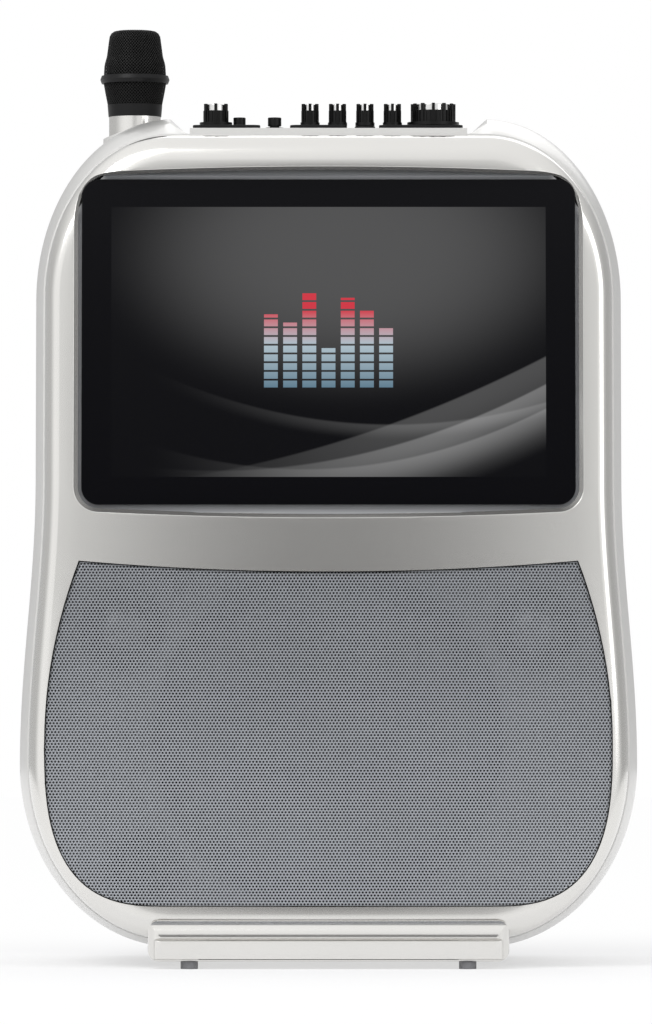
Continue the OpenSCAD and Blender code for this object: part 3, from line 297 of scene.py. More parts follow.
@dataclass(frozen=True)
class Finish:
    """A finish with a fine grain, a little colour change and worn gloss.

    Attributes:
        name: the material's name.
        colour: its main colour.
        drift: how far the colour drifts towards a darker shade, from 0 to 1.
        metallic: share of metal.
        rough: roughness.
        spread: how far the roughness varies.
        coat: clear coat over it.
        grain: bumps to the metre.
        depth: height of the bumps, in metres.
        gloss: strength of its mirror-like reflection.
    """

    name: str
    colour: Colour
    drift: float = 0.12
    metallic: float = 0.0
    rough: float = 0.45
    spread: float = 0.06
    coat: float = 0.0
    grain: float = 2500.0
    depth: float = 0.00002
    gloss: float = 0.5

    def paint(self) -> Material:
        """Makes the material."""
        tree = Tree(bpy.data.materials.new(self.name))
        grain = tree.noise(self.grain, 3.0)
        broad = tree.noise(28.0)
        shade = tuple(c * (1 - self.drift) for c in self.colour)
        tree.skin(
            {
                "Base Color": tree.mix(broad, self.colour, shade),
                "Metallic": self.metallic,
                "Roughness": self.rough + self.spread * (broad - 0.5),
                "Specular IOR Level": self.gloss,
                "Coat Weight": self.coat,
                "Coat Roughness": 0.12,
                "Normal": tree.bump(grain, self.depth),
            }
        )
        return tree.owner


@dataclass(frozen=True)
class Lacquer:
    """Silver lacquer: fine metal flakes under a clear coat.

    Attributes:
        name: the material's name.
        colour: its main colour.
        metallic: share of metal.
        rough: roughness.
    """

    name: str
    colour: Colour
    metallic: float = 0.95
    rough: float = 0.17

    def paint(self) -> Material:
        """Makes the material."""
        tree = Tree(bpy.data.materials.new(self.name))
        flakes = tree.noise(6000.0, 1.0)
        broad = tree.noise(9.0)
        shade = tuple(c * 0.95 for c in self.colour)
        tree.skin(
            {
                "Base Color": tree.mix(broad, self.colour, shade),
                "Metallic": self.metallic,
                "Roughness": self.rough + 0.05 * (flakes - 0.5),
                "Coat Weight": 0.3,
                "Coat Roughness": 0.08,
                "Normal": tree.bump(flakes, 0.000002, 0.1),
            }
        )
        return tree.owner


@dataclass(frozen=True)
class Brushed:
    """Bare metal with fine lines along one direction.

    Attributes:
        name: the material's name.
        colour: the metal.
        rough: roughness.
        along: lines to the metre along each axis.
    """

    name: str
    colour: Colour
    rough: float = 0.3
    along: Point = (20.0, 2200.0, 2200.0)

    def paint(self) -> Material:
        """Makes the material."""
        tree = Tree(bpy.data.materials.new(self.name))
        where = tree.add("ShaderNodeTexCoord")["Object"]
        drawn = tree.add("ShaderNodeMapping", None, {"Vector": where, "Scale": self.along})
        lines = tree.add("ShaderNodeTexNoise", None, {"Vector": drawn["Vector"], "Scale": 1.0})
        lines = lines["Fac"]
        shade = tuple(c * 0.8 for c in self.colour)
        tree.skin(
            {
                "Base Color": tree.mix(lines, self.colour, shade),
                "Metallic": 1.0,
                "Roughness": self.rough + 0.1 * (lines - 0.5),
                "Normal": tree.bump(lines, 0.00001, 0.5),
            }
        )
        return tree.owner


@dataclass(frozen=True)
class Perforated:
    """Painted steel sheet with staggered round holes, and painted shade that darkens it towards
    the top.

    Attributes:
        name: the material's name.
        colour: the paint.
        pitch: distance between holes, in millimetres.
        hole: radius of a hole over the pitch.
    """

    name: str
    colour: Colour
    pitch: float = 1.7
    hole: float = 0.3

    def paint(self) -> Material:
        """Makes the material."""
        tree = Tree(bpy.data.materials.new(self.name))
        at = tree.place()
        row_step = math.sqrt(3) / 2
        across = at["X"] / self.pitch
        up = at["Z"] / (self.pitch * row_step)
        row = up.math("FLOOR")
        shifted = across + (row * 0.5)
        dx = shifted.math("FRACT") - 0.5
        dz = (up.math("FRACT") - 0.5) * row_step
        radius = (dx * dx + dz * dz).math("SQRT")
        sheet = radius.step(self.hole - 0.04, self.hole + 0.04)
        rim = radius.step(self.hole, self.hole + 0.16)
        # random tone plus painted shade: the colour darkens towards the top of the grille
        broad = tree.noise(14.0) * 0.4 + at["Z"].step(20.0, 210.0) * 0.8
        shade = tuple(c * 0.72 for c in self.colour)
        tree.skin(
            {
                "Base Color": tree.mix(broad, self.colour, shade),
                "Metallic": 0.6,
                "Roughness": 0.34,
                "Alpha": sheet,
                "Normal": tree.bump(rim, 0.0003, 0.8),
            }
        )
        return tree.owner


@dataclass(frozen=True)
class Picture:
    """Cover glass with a black border and a lit picture behind it.

    Attributes:
        name: the material's name.
        centre: the middle of the picture, in millimetres.
        lean: how far the screen leans back, in radians.
        half: half the picture's width and height.
        glow_at: the brightest point of the backdrop.
        ribbons: rise, bend, height in the middle, width and brightness of each ribbon.
        bar_count: how many level bars there are.
        bar_step: distance between bars.
        bar_foot: how far the bars start below the middle.
        bar_cell: height of one cell of a bar.
    """

    name: str
    centre: Point
    lean: float
    half: Pair = (108.7, 68.0)
    glow_at: Pair = (10.0, 45.0)
    ribbons: Tuple[Tuple[float, float, float, float, float], ...] = (
        (0.30, 0.0010, -52, 40, 0.07),
        (0.18, 0.0016, -60, 26, 0.12),
        (0.05, 0.0021, -64, 22, 0.09),
        (-0.12, 0.0019, -40, 8, 0.06),
    )
    bar_count: int = 7
    bar_step: float = 9.6
    bar_foot: float = 24.0
    bar_cell: float = 4.4

    def wave(
        self, x: Shade, z: Shade, rise: float, bend: float, low: float, width: float
    ) -> Shade:
        """One soft ribbon of light.

        Args:
            x: place across.
            z: place up.
            rise: how fast it climbs to the right.
            bend: how strongly it curves.
            low: its height in the middle.
            width: its width.

        Returns:
            Brightness from 0 to 1, sharp above and fading below.
        """
        line = x * rise + x * x * bend + low
        below = line - z
        edge = below.step(-0.8, 0.6)
        fade = 1 - below.step(0.0, width)
        return edge * fade

    def bars(self, tree: Tree, x: Shade, z: Shade) -> Tuple[Shade, Shade]:
        """A row of level bars in the middle of the picture.

        Args:
            tree: the material in the making.
            x: place across.
            z: place up.

        Returns:
            Their mask and their colour.
        """
        place = x / self.bar_step + self.bar_count / 2
        column = place.math("FLOOR")
        inside = abs(place.math("FRACT") - 0.5) < 0.36
        span = abs(x) < self.bar_count * self.bar_step / 2
        height = 10 + 19 * abs((column * 1.9 + 0.7).math("SINE"))
        foot = z + self.bar_foot
        cells = (foot / self.bar_cell).math("FRACT") > 0.22
        lit = (foot > 0) * (foot < height * 1.7)
        mask = inside * span * cells * lit
        level = foot / 50
        colour = tree.add(
            "ShaderNodeValToRGB", None, {"Fac": level},
            stops=(
                (0.0, (0.10, 0.19, 0.26)), (0.45, (0.42, 0.52, 0.58)), (0.8, (0.62, 0.04, 0.06))
            ),
        )["Color"]
        return mask, colour

    def paint(self) -> Material:
        """Makes the material."""
        tree = Tree(bpy.data.materials.new(self.name))
        at = tree.place(self.centre, -self.lean)
        x, z = at["X"], at["Z"]
        half_x, half_z = self.half
        inside = (abs(x) < half_x) * (abs(z) < half_z)
        dx, dz = x - self.glow_at[0], z - self.glow_at[1]
        glow = 1 - (dx * dx * 0.00006 + dz * dz * 0.00016).step(0.0, 1.25)
        ribbons = sum(self.wave(x, z, *shape) * light for *shape, light in self.ribbons)
        ribbons = ribbons * x.step(-95, 75)
        grey = (0.001 + 0.08 * glow * glow + ribbons) * inside
        mask, colour = self.bars(tree, x, z)
        shade = tree.mix(grey, (0.0, 0.0, 0.0), (1.0, 1.0, 1.0))
        lit = tree.mix(mask * inside, shade, colour)
        tree.skin(
            {
                "Base Color": (0.004, 0.004, 0.005),
                "Roughness": 0.06,
                "Specular IOR Level": 0.2,
                "Emission Color": lit,
                "Emission Strength": 1.0,
            }
        )
        return tree.owner


class Model:
    """A mesh in the making, in millimetres until it is finished."""

    def __init__(self) -> None:
        """Starts empty."""
        self.bm = bmesh.new()

    def ring(self, points: Iterable[Vector]) -> List[bmesh.types.BMEdge]:
        """Adds one closed ring of edges through the points."""
        verts = [self.bm.verts.new(p) for p in points]
        return [self.bm.edges.new((a, b)) for a, b in zip(verts, verts[1:] + verts[:1])]

    def loft(self, rings: Sequence[Ring], start: bool = False, end: bool = False,
             loop: bool = False) -> None:
        """Runs a skin through rings of equal length by extruding each from the last.

        Args:
            rings: the rings, each a list of points.
            start: closes the first ring on its middle.
            end: closes the last ring on its middle.
            loop: joins the last ring to the first.
        """
        first = self.ring(rings[0])
        verts = [e.verts[0] for e in first]
        edges, heads = first, [verts]
        for points in rings[1:]:
            made = bmesh.ops.extrude_edge_only(self.bm, edges=edges)["geom"]
            fresh = {v for v in made if isinstance(v, bmesh.types.BMVert)}
            verts = [
                next(e.other_vert(v) for e in v.link_edges if e.other_vert(v) in fresh)
                for v in verts
            ]
            for vert, point in zip(verts, points):
                vert.co = point
            heads.append(verts)
            edges = [self.bm.edges.get((a, b)) for a, b in zip(verts, verts[1:] + verts[:1])]
        for wanted, ends in ((start, heads[0]), (end, heads[-1])):
            if wanted:
                self.fan(ends)
        if loop:
            bmesh.ops.bridge_loops(self.bm, edges=first + edges)

    def fan(self, verts: Sequence[bmesh.types.BMVert]) -> None:
        """Closes a ring with one face and a middle point."""
        face = self.bm.faces.new(verts)
        bmesh.ops.poke(self.bm, faces=[face])

    def finish(self, name: str, material: Material, sharp: float = 40.0,
               face_out: bool = True) -> Object:
        """Turns the mesh into an object in metres, shaded smooth up to an angle.

        Args:
            name: the piece's name.
            material: its material.
            sharp: edges that turn by more than this, in degrees, stay sharp.
            face_out: recalculates the normals.

        Returns:
            The object, at the origin.
        """
        bmesh.ops.remove_doubles(self.bm, verts=self.bm.verts, dist=0.001)
        if face_out:
            bmesh.ops.recalc_face_normals(self.bm, faces=self.bm.faces)
        self.bm.transform(Matrix.Scale(MM, 4))
        mesh = bpy.data.meshes.new(name)
        shade(self.bm, sharp)
        self.bm.to_mesh(mesh)
        self.bm.free()
        mesh.materials.append(material)
        obj = bpy.data.objects.new(name, mesh)
        bpy.context.scene.collection.objects.link(obj)
        return obj


def soften(bm: bmesh.types.BMesh, edge: float, sharp: float, segments: int,
           above: float = -1.0) -> None:
    """Rounds the outward edges of a mesh.

    Args:
        bm: the mesh, in metres.
        edge: width of the softened edges, in millimetres.
        sharp: only edges that turn by more than this, in degrees, are rounded.
        segments: steps of the rounding.
        above: only edges higher than this are rounded, in millimetres.
    """
    limit = math.radians(sharp)
    corners = [
        e for e in bm.edges
        if e.is_convex and e.calc_face_angle(0.0) > limit and e.verts[0].co.z > above * MM
    ]
    bmesh.ops.bevel(
        bm, geom=corners, offset=edge * MM, offset_type="OFFSET", segments=segments,
        profile=0.5, affect="EDGES", clamp_overlap=True, material=-1,
    )


def shade(bm: bmesh.types.BMesh, sharp: float) -> None:
    """Shades a mesh smooth.

    Args:
        bm: the mesh.
        sharp: edges that turn by more than this, in degrees, stay sharp.
    """
    limit = math.radians(sharp)
    for face in bm.faces:
        face.smooth = True
    for edge in bm.edges:
        edge.smooth = len(edge.link_faces) == 2 and edge.calc_face_angle(0.0) < limit


def carve(obj: Object, cutters: Sequence[Object], sharp: float = 40.0,
          edge: float = 0.0, above: float = 0.0) -> None:
    """Cuts other solids out of an object and throws the cutters away.

    Args:
        obj: the object that is cut.
        cutters: the solids that are taken out of it.
        sharp: edges that turn by more than this, in degrees, stay sharp.
        edge: width of the softened edges, in millimetres.
        above: only edges higher than this are softened, in millimetres.
    """
    for cutter in cutters:
        modifier = obj.modifiers.new("cut", "BOOLEAN")
        modifier.operation = "DIFFERENCE"
        modifier.solver = "EXACT"
        modifier.object = cutter
    depsgraph = bpy.context.evaluated_depsgraph_get()
    mesh = bpy.data.meshes.new_from_object(obj.evaluated_get(depsgraph))
    obj.modifiers.clear()
    obj.data = mesh
    bm = bmesh.new()
    bm.from_mesh(mesh)
    if edge:
        bmesh.ops.remove_doubles(bm, verts=bm.verts, dist=0.3 * MM)
        bmesh.ops.dissolve_degenerate(bm, edges=bm.edges, dist=0.05 * MM)
        soften(bm, edge, sharp, 3, above)
    shade(bm, sharp)
    bm.to_mesh(mesh)
    bm.free()
    for cutter in cutters:
        bpy.data.objects.remove(cutter)


def dress(material: Material, *nodes: str) -> None:
    """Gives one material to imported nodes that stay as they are.

    Args:
        material: their material.
        nodes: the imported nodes.
    """
    for node in nodes:
        slots = frame["nodes"][node].data.materials
        slots.clear()
        slots.append(material)


def refine(node: str, material: Material, edge: float = 0.0,
           sharp: float = 30.0) -> Object:
    """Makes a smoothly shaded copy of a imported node, with softened edges.

    Args:
        node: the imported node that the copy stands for.
        material: the copy's material.
        edge: width of the softened edges, in millimetres.
        sharp: edges that turn by more than this, in degrees, are edges of the shape.

    Returns:
        The copy, riding on the node's body.
    """
    source = frame["nodes"][node]
    bm = bmesh.new()
    bm.from_mesh(source.data)
    bmesh.ops.remove_doubles(bm, verts=bm.verts, dist=0.002 * MM)
    bmesh.ops.dissolve_limit(
        bm, angle_limit=math.radians(0.6), verts=bm.verts, edges=bm.edges, delimit={"NORMAL"}
    )
    if edge:
        soften(bm, edge, sharp, 2)
    shade(bm, sharp)
    mesh = bpy.data.meshes.new(node + "_fine")
    bm.to_mesh(mesh)
    bm.free()
    mesh.materials.append(material)
    obj = bpy.data.objects.new(node + "_fine", mesh)
    bpy.context.scene.collection.objects.link(obj)
    weigh(obj)
    settle(obj, source["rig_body"], node)
    return obj


def weigh(obj: Object) -> None:
    """Keeps the large faces flat where their edges are rounded."""
    modifier = obj.modifiers.new("weights", "WEIGHTED_NORMAL")
    modifier.keep_sharp = True
    modifier.weight = 60


def settle(obj: Object, body: str, *nodes: str) -> None:
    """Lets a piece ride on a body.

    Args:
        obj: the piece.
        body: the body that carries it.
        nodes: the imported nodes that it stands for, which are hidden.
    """
    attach(obj, body)
    if nodes:
        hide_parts(*nodes)
    LOG.info("%s rides on %s, %d faces", obj.name, body, len(obj.data.polygons))


def rounded(width: float, height: float, radius: float, steps: int = 12,
            centre: Pair = (0.0, 0.0)) -> List[Pair]:
    """Outline of a rounded rectangle, counter-clockwise from its lower right corner.

    Args:
        width: full width.
        height: full height.
        radius: radius of the corners.
        steps: steps along each corner.
        centre: its middle.

    Returns:
        The outline's points.
    """
    points = []
    for quarter in range(4):
        side = 1 if quarter in (0, 1) else -1
        up = 1 if quarter in (1, 2) else -1
        for i in range(steps + 1):
            turn = math.radians(90 * (quarter - 1 + i / steps))
            points.append(
                (
                    centre[0] + side * (width / 2 - radius) + radius * math.cos(turn),
                    centre[1] + up * (height / 2 - radius) + radius * math.sin(turn),
                )
            )
    return points


@dataclass(frozen=True)
class Inset:
    """How far an outline is moved in at the sides, the top and the bottom."""

    side: float
    top: float
    base: float

    def grown(self, by: float, tall: float = 1.0) -> "Inset":
        """The same inset, deeper all round, and tall times that at the top and bottom."""
        return Inset(self.side + by, self.top + by * tall, self.base + by * tall)


@dataclass
class Housing:
    """Bezel and rear shell of the moulded housing, in millimetres."""

    top: float = 427.0
    base: float = 9.0
    waist: float = 148.0
    belly: float = 155.5
    belly_z: float = 101.0
    waist_z: float = 243.0
    shoulder_z: float = 335.0
    shoulder: float = 68.0
    corner: float = 79.0
    front: float = -98.0
    rear: float = 107.0
    lean: float = math.radians(5.0)
    bow: float = 7.0
    wall: float = 3.0
    bezel: float = 14.0
    parting: float = 0.8
    notch_x: float = 70.0
    notch_z: float = 417.5
    steps: int = 36
    rim: Inset = Inset(5.8, 10.7, 4.4)
    opening: Inset = Inset(36.0, 34.0, 20.0)
    glass_z: float = 313.0
    glass_w: float = 247.0
    glass_h: float = 164.0
    glass_depth: float = 9.5
    room: float = 0.3
    grille_x: float = 141.0
    grille_top_x: float = 124.0
    grille_top: float = 202.0
    grille_base: float = 31.0
    grille_wide_z: float = 112.0
    grille_corner: float = 60.0
    grille_sag: float = 5.5
    grille_power: float = 2.8

    def face(self, z: float) -> float:
        """Y of the front face's middle at height z."""
        return self.front + z * math.tan(self.lean)

    def half(self, inset: Inset) -> List[Pair]:
        """Right half of a cross-section's outline.

        Args:
            inset: how far the outline is moved in.

        Returns:
            Its points, from the bottom middle to the top middle.
        """
        low, high = self.base + inset.base, self.top - inset.top
        corner_x = self.belly - self.corner
        shoulder_x = self.waist - self.shoulder
        a1, b1 = self.belly - inset.side - corner_x, self.belly_z - low
        a2, b2 = self.waist - inset.side - shoulder_x, high - self.shoulder_z
        floor = min(high, self.notch_z)
        points = [(corner_x * i / 10, low) for i in range(10)]
        for i in range(self.steps + 1):
            turn = math.radians(90 * i / self.steps - 90)
            points.append((corner_x + a1 * math.cos(turn), self.belly_z + b1 * math.sin(turn)))
        waist_steps = self.steps // 2
        for i in range(1, waist_steps + 1):
            u = i / waist_steps
            wide = self.waist - inset.side
            points.append((
                wide + (self.belly - self.waist) * (1 + math.cos(math.pi * u)) / 2,
                self.belly_z + (self.waist_z - self.belly_z) * u,
            ))
        for i in range(self.steps + 1):
            turn = math.radians(90 * i / self.steps)
            points.append((
                shoulder_x + a2 * math.cos(turn), self.shoulder_z + b2 * math.sin(turn)
            ))
        points += [(self.notch_x * (10 - i) / 10, floor) for i in range(11)]
        return points

    def outline(self, inset: Inset) -> List[Pair]:
        """The whole outline of a cross-section."""
        half = self.half(inset)
        return half + [(-x, z) for x, z in reversed(half[1:-1])]

    def bowed(self, depth: float, x: float, z: float) -> Vector:
        """The point that lies so deep behind the leaning, bowed face."""
        return Vector((x, self.face(z) + depth + self.bow * (x / self.waist) ** 2, z))

    def front_ring(self, depth: float, inset: Inset, scale: float = 1.0) -> Ring:
        """A ring of the front.

        Args:
            depth: how deep it lies behind the face.
            inset: how far the outline is moved in.
            scale: draws the ring in towards the middle.

        Returns:
            The ring's points.
        """
        middle = (self.base + self.top) / 2
        return [
            self.bowed(depth, x * scale, middle + (z - middle) * scale)
            for x, z in self.outline(inset)
        ]

    def rear_ring(self, depth: float, y: float, upright: float, inset: Inset) -> Ring:
        """A ring of the rear.

        Args:
            depth: how deep it lies behind the face, where it leans.
            y: its place, where it stands upright.
            upright: 0 leans with the front, 1 stands upright.
            inset: how far the outline is moved in.

        Returns:
            The ring's points.
        """
        ring = []
        for x, z in self.outline(inset):
            bow = self.bow * (x / self.waist) ** 2 * (1 - upright)
            lead = self.face(z) + depth + bow
            ring.append(Vector((x, lead * (1 - upright) + y * upright, z)))
        return ring

    def roll(self, depth: float, wide: float, steps: int = 10) -> List[Pair]:
        """The rounded edge of the bezel.

        Args:
            depth: how deep it runs.
            wide: how far it runs in over the face.
            steps: steps along it.

        Returns:
            Its steps, as depth and inset.
        """
        power = 2 / 2.4
        points = []
        for i in range(steps + 1):
            turn = math.pi / 2 * i / steps
            points.append((
                depth * (1 - math.cos(turn) ** power), wide * (1 - math.sin(turn) ** power)
            ))
        return points

    def grille_half(self, grow: float, steps: int = 24) -> List[Pair]:
        """Right half of the grille's outline.

        Args:
            grow: how far the outline is moved out.
            steps: steps round its lower corner.

        Returns:
            Its points, from the bottom middle to the top middle.
        """
        cx = self.grille_x - self.grille_corner
        a = self.grille_corner + grow
        b = self.grille_wide_z - self.grille_base + grow
        span = self.grille_top - self.grille_wide_z
        power = 2 / self.grille_power
        low = self.grille_base - grow
        points = [(cx * i / 8, low) for i in range(8)]
        for i in range(steps + 1):
            turn = math.pi / 2 * i / steps
            points.append((
                cx + a * math.sin(turn) ** power, self.grille_wide_z - b * math.cos(turn) ** power
            ))
        for i in range(1, 13):
            u = i / 12
            points.append((
                self.grille_x + grow - (self.grille_x - self.grille_top_x) * u * u,
                self.grille_wide_z + (span + grow) * u,
            ))
        for i in range(1, 13):
            u = i / 12
            points.append((
                (self.grille_top_x + grow) * (1 - u),
                self.grille_top + grow - self.grille_sag * (1 - (1 - u) ** 2),
            ))
        return points

    def grille_outline(self, grow: float) -> List[Pair]:
        """The whole outline of the grille, grown by so much."""
        half = self.grille_half(grow)
        return half + [(-x, z) for x, z in reversed(half[1:-1])]

    def cutter(self, model: Model) -> Object:
        """Finishes a solid that only cuts."""
        return model.finish("cutter", bpy.data.materials.new("cutter"))

    def lofted(self, rings: Sequence[Ring]) -> Object:
        """A closed solid through rings, for cutting."""
        model = Model()
        model.loft(rings, start=True, end=True)
        return self.cutter(model)

    def screen_ring(self, depth: float, width: float, height: float, radius: float,
                    up: float = 0.0) -> Ring:
        """A rounded rectangle on the leaning plane of the screen.

        Args:
            depth: how deep it lies.
            width: full width.
            height: full height.
            radius: radius of the corners.
            up: how far it is moved up the plane.

        Returns:
            The ring's points.
        """
        turn = Matrix.Rotation(-self.lean, 4, "X")
        start = Vector((0, self.front, 0))
        rise = self.glass_z / math.cos(self.lean) + up
        return [
            start + turn @ Vector((x, depth, z + rise)) for x, z in rounded(width, height, radius)
        ]

    def build_bezel(self, material: Material) -> None:
        """Makes the front bezel with its screen recess and grille opening.

        Args:
            material: its lacquer.
        """
        model = Model()
        roll, tall = 8.0, 1.7
        outer = [self.front_ring(0, self.rim.grown(roll, tall), s / 12) for s in range(1, 12)]
        outer += [
            self.front_ring(depth, self.rim.grown(inset, tall))
            for depth, inset in self.roll(self.bezel, roll)
        ]
        inner = [
            self.front_ring(depth + self.wall * 0.9, self.rim.grown(inset + self.wall))
            for depth, inset in reversed(self.roll(self.bezel - self.wall * 0.9, 5.0, 5))
        ]
        inner += [self.front_ring(self.wall, self.rim.grown(11), s) for s in (0.9, 0.5, 0.1)]
        model.loft(outer + inner, start=True, end=True)
        obj = model.finish("bezel_moulding", material)
        wide, high, radius = self.glass_w + self.room, self.glass_h + self.room, 9
        recess = self.lofted([
            self.screen_ring(self.glass_depth + 8, wide, high, radius),
            self.screen_ring(self.glass_depth, wide, high, radius),
            self.screen_ring(-0.2, self.glass_w + 17, self.glass_h + 13, 16, -1.2),
            self.screen_ring(-12, self.glass_w + 31, self.glass_h + 26, 22, -2.4),
        ])
        mouth = self.lofted([
            [self.bowed(depth, x, z) for x, z in self.grille_outline(0.5)]
            for depth in (-4, 12)
        ])
        carve(obj, [recess, mouth], 30, 0.35, self.grille_top + 10)
        weigh(obj)
        settle(obj, "machine", "front_bezel")

    def build_shell(self, material: Material) -> None:
        """Makes the rear shell, from the parting line to the rim of the rear cover.

        Args:
            material: its lacquer.
        """
        side = [
            self.front_ring(self.bezel + self.parting, Inset(5, 9.7, 3.8)),
            self.front_ring(20, Inset(3.4, 7, 2.6)),
            self.front_ring(30, Inset(1.4, 3.2, 1.2)),
            self.rear_ring(48, 0, 0, Inset(0.1, 0.1, 0)),
            self.rear_ring(48, 37, 0.5, Inset(0.4, 0.4, 0)),
            self.rear_ring(0, 37, 1, Inset(3, 3, 0.4)),
            self.rear_ring(0, 72, 1, Inset(9, 8, 2)),
            self.rear_ring(0, 92, 1, Inset(16, 14, 6)),
            self.rear_ring(0, 102, 1, Inset(22, 20, 8.5)),
            self.rear_ring(0, 106, 1, Inset(27, 25, 11.5)),
            self.rear_ring(0, self.rear, 1, Inset(28.5, 26.5, 12.5)),
        ]
        outer = smoothed(side, 4) + [self.rear_ring(0, self.rear, 1, self.opening)]
        inner = [
            self.rear_ring(0, self.rear - self.wall, 1, self.opening),
            self.rear_ring(0, self.rear - 18, 1, Inset(19.5, 17.5, 10)),
            self.rear_ring(0, 37, 1, Inset(6, 6, 3.4)),
            self.rear_ring(48, 0, 0, Inset(3, 3, 3)),
            self.front_ring(self.bezel + self.parting, Inset(8, 12.7, 6.8)),
        ]
        model = Model()
        model.loft(outer + inner, loop=True)
        obj = model.finish("shell_moulding", material)
        carve(obj, [self.holder_bore(), self.drive_bay()], 30)
        settle(obj, "machine", "rear_shell")

    def holder_bore(self) -> Object:
        """Cutter for the mouth of the microphone holder."""
        low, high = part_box("mic_holder")
        middle, radius = (low + high) / 2 / MM, (high.x - low.x) / 2 / MM + 0.1
        model = Model()
        bmesh.ops.create_cone(
            model.bm, cap_ends=True, segments=96, radius1=radius, radius2=radius, depth=80,
            matrix=Matrix.Translation((middle.x, middle.y, high.z / MM)),
        )
        return self.cutter(model)

    def drive_bay(self) -> Object:
        """Cutter for the bay of the disc drive under the housing."""
        low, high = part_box("drive_housing")
        room = 0.6
        size = (high - low) / MM + Vector((2 * room, 2 * room, 2 * room))
        model = Model()
        bmesh.ops.create_cube(
            model.bm, size=1.0,
            matrix=Matrix.Translation((low + high) / 2 / MM) @ Matrix.Diagonal((*size, 1)),
        )
        return self.cutter(model)

    def build_grille(self, material: Material) -> None:
        """Makes the bowed grille sheet with its turned-in edge.

        Args:
            material: its perforated paint.
        """
        sunk, back = 1.8, 4.2
        points = self.grille_outline(0)
        middle = (self.grille_top + self.grille_base) / 2
        rings = [
            [self.bowed(sunk, x * s / 10, middle + (z - middle) * s / 10) for x, z in points]
            for s in range(1, 10)
        ]
        edge = ((sunk, -2.0), (1.85, -1.3), (2.1, -0.5), (2.5, 0.0), (back, 0.0), (back, -1.0))
        for depth, grow in edge:
            rings.append([self.bowed(depth, x, z) for x, z in self.grille_outline(grow)])
        model = Model()
        model.loft(rings, start=True)
        obj = model.finish("grille_sheet", material, face_out=False)
        settle(obj, "machine", "speaker_grille")


def smoothed(rings: Sequence[Ring], steps: int) -> List[Ring]:
    """Adds rings between rings, on a curve that passes through all of them.

    Args:
        rings: rings of equal length.
        steps: steps from each ring to the next.

    Returns:
        The given rings and those between them.
    """
    made = []
    for i in range(len(rings) - 1):
        a, b = rings[max(i - 1, 0)], rings[i]
        c, d = rings[i + 1], rings[min(i + 2, len(rings) - 1)]
        for k in range(steps):
            t = k / steps
            made.append([
                ((2 * q) + (r - p) * t + (2 * p - 5 * q + 4 * r - s) * t * t
                 + (3 * q - p - 3 * r + s) * t ** 3) / 2
                for p, q, r, s in zip(a, b, c, d)
            ])
    made.append(list(rings[-1]))
    return made


@dataclass
class Microphone:
    """Wire head, collar and handle of the microphone, in millimetres."""

    x: float = -99.0
    y: float = 30.0
    neck: float = 431.0
    head_z: float = 437.0
    height: float = 44.0
    wide: float = 17.1
    foot: float = 14.0
    cell: float = 1.7
    wire: float = 0.42

    def profile(self) -> List[Pair]:
        """Half profile of the head, from its foot to the middle of its top."""
        top = self.neck + self.height
        band = self.neck + self.height * 0.43
        points = [(self.foot, self.head_z), (self.foot + 1.2, self.head_z + 6)]
        points += [(self.wide - 1, band - 2), (self.wide - 1, band + 2)]
        points += [(self.wide - 1.4, band + 8), (self.wide - 2.6, top - 13)]
        for i in range(7):
            turn = math.pi / 2 * i / 6
            points.append((self.wide - 7.6 + 3.8 * math.cos(turn), top - 4 + 4 * math.sin(turn)))
        return points

    def resampled(self, step: float, out: float) -> List[Pair]:
        """The head's profile at even steps.

        Args:
            step: distance from point to point.
            out: how far the profile is moved out.

        Returns:
            Its points, as radius and height.
        """
        points = self.profile() + [(0.01, self.neck + self.height)]
        made, left = [points[0]], step
        for (r0, z0), (r1, z1) in zip(points, points[1:]):
            length = math.hypot(r1 - r0, z1 - z0)
            place = left
            while place < length:
                t = place / length
                made.append((r0 + (r1 - r0) * t, z0 + (z1 - z0) * t))
                place += step
            left = place - length
        return [(max(r + out, 0.6), z) for r, z in made]

    def build_head(self, wire: Material, foam: Material) -> None:
        """Makes the crossed wires of the head over a dark core.

        Args:
            wire: the wires' material.
            foam: the core's material.
        """
        count = int(2 * math.pi * (self.wide - 1) / self.cell)
        core, mesh = Model(), Model()
        for model, out in ((core, -1.4), (mesh, -0.35)):
            rings = []
            for r, z in self.resampled(self.cell, out):
                rings.append([
                    Vector((
                        self.x + r * math.cos(2 * math.pi * i / count),
                        self.y + r * math.sin(2 * math.pi * i / count),
                        z - (0.6 if model is core else 0.25),
                    ))
                    for i in range(count)
                ])
            model.loft(rings, start=model is core, end=model is core)
        straight = list(mesh.bm.edges)
        bmesh.ops.poke(mesh.bm, faces=list(mesh.bm.faces))
        inner = [e for e in straight if e.is_valid and len(e.link_faces) == 2]
        bmesh.ops.dissolve_edges(mesh.bm, edges=inner, use_verts=False)
        net = mesh.finish("mic_head_wires", wire)
        wires = net.modifiers.new("wires", "WIREFRAME")
        wires.thickness = self.wire * MM
        wires.use_even_offset = False
        wires.offset = 0.0
        settle(net, "mic", "mic_grille")
        inside = core.finish("mic_head_core", foam)
        settle(inside, "mic")


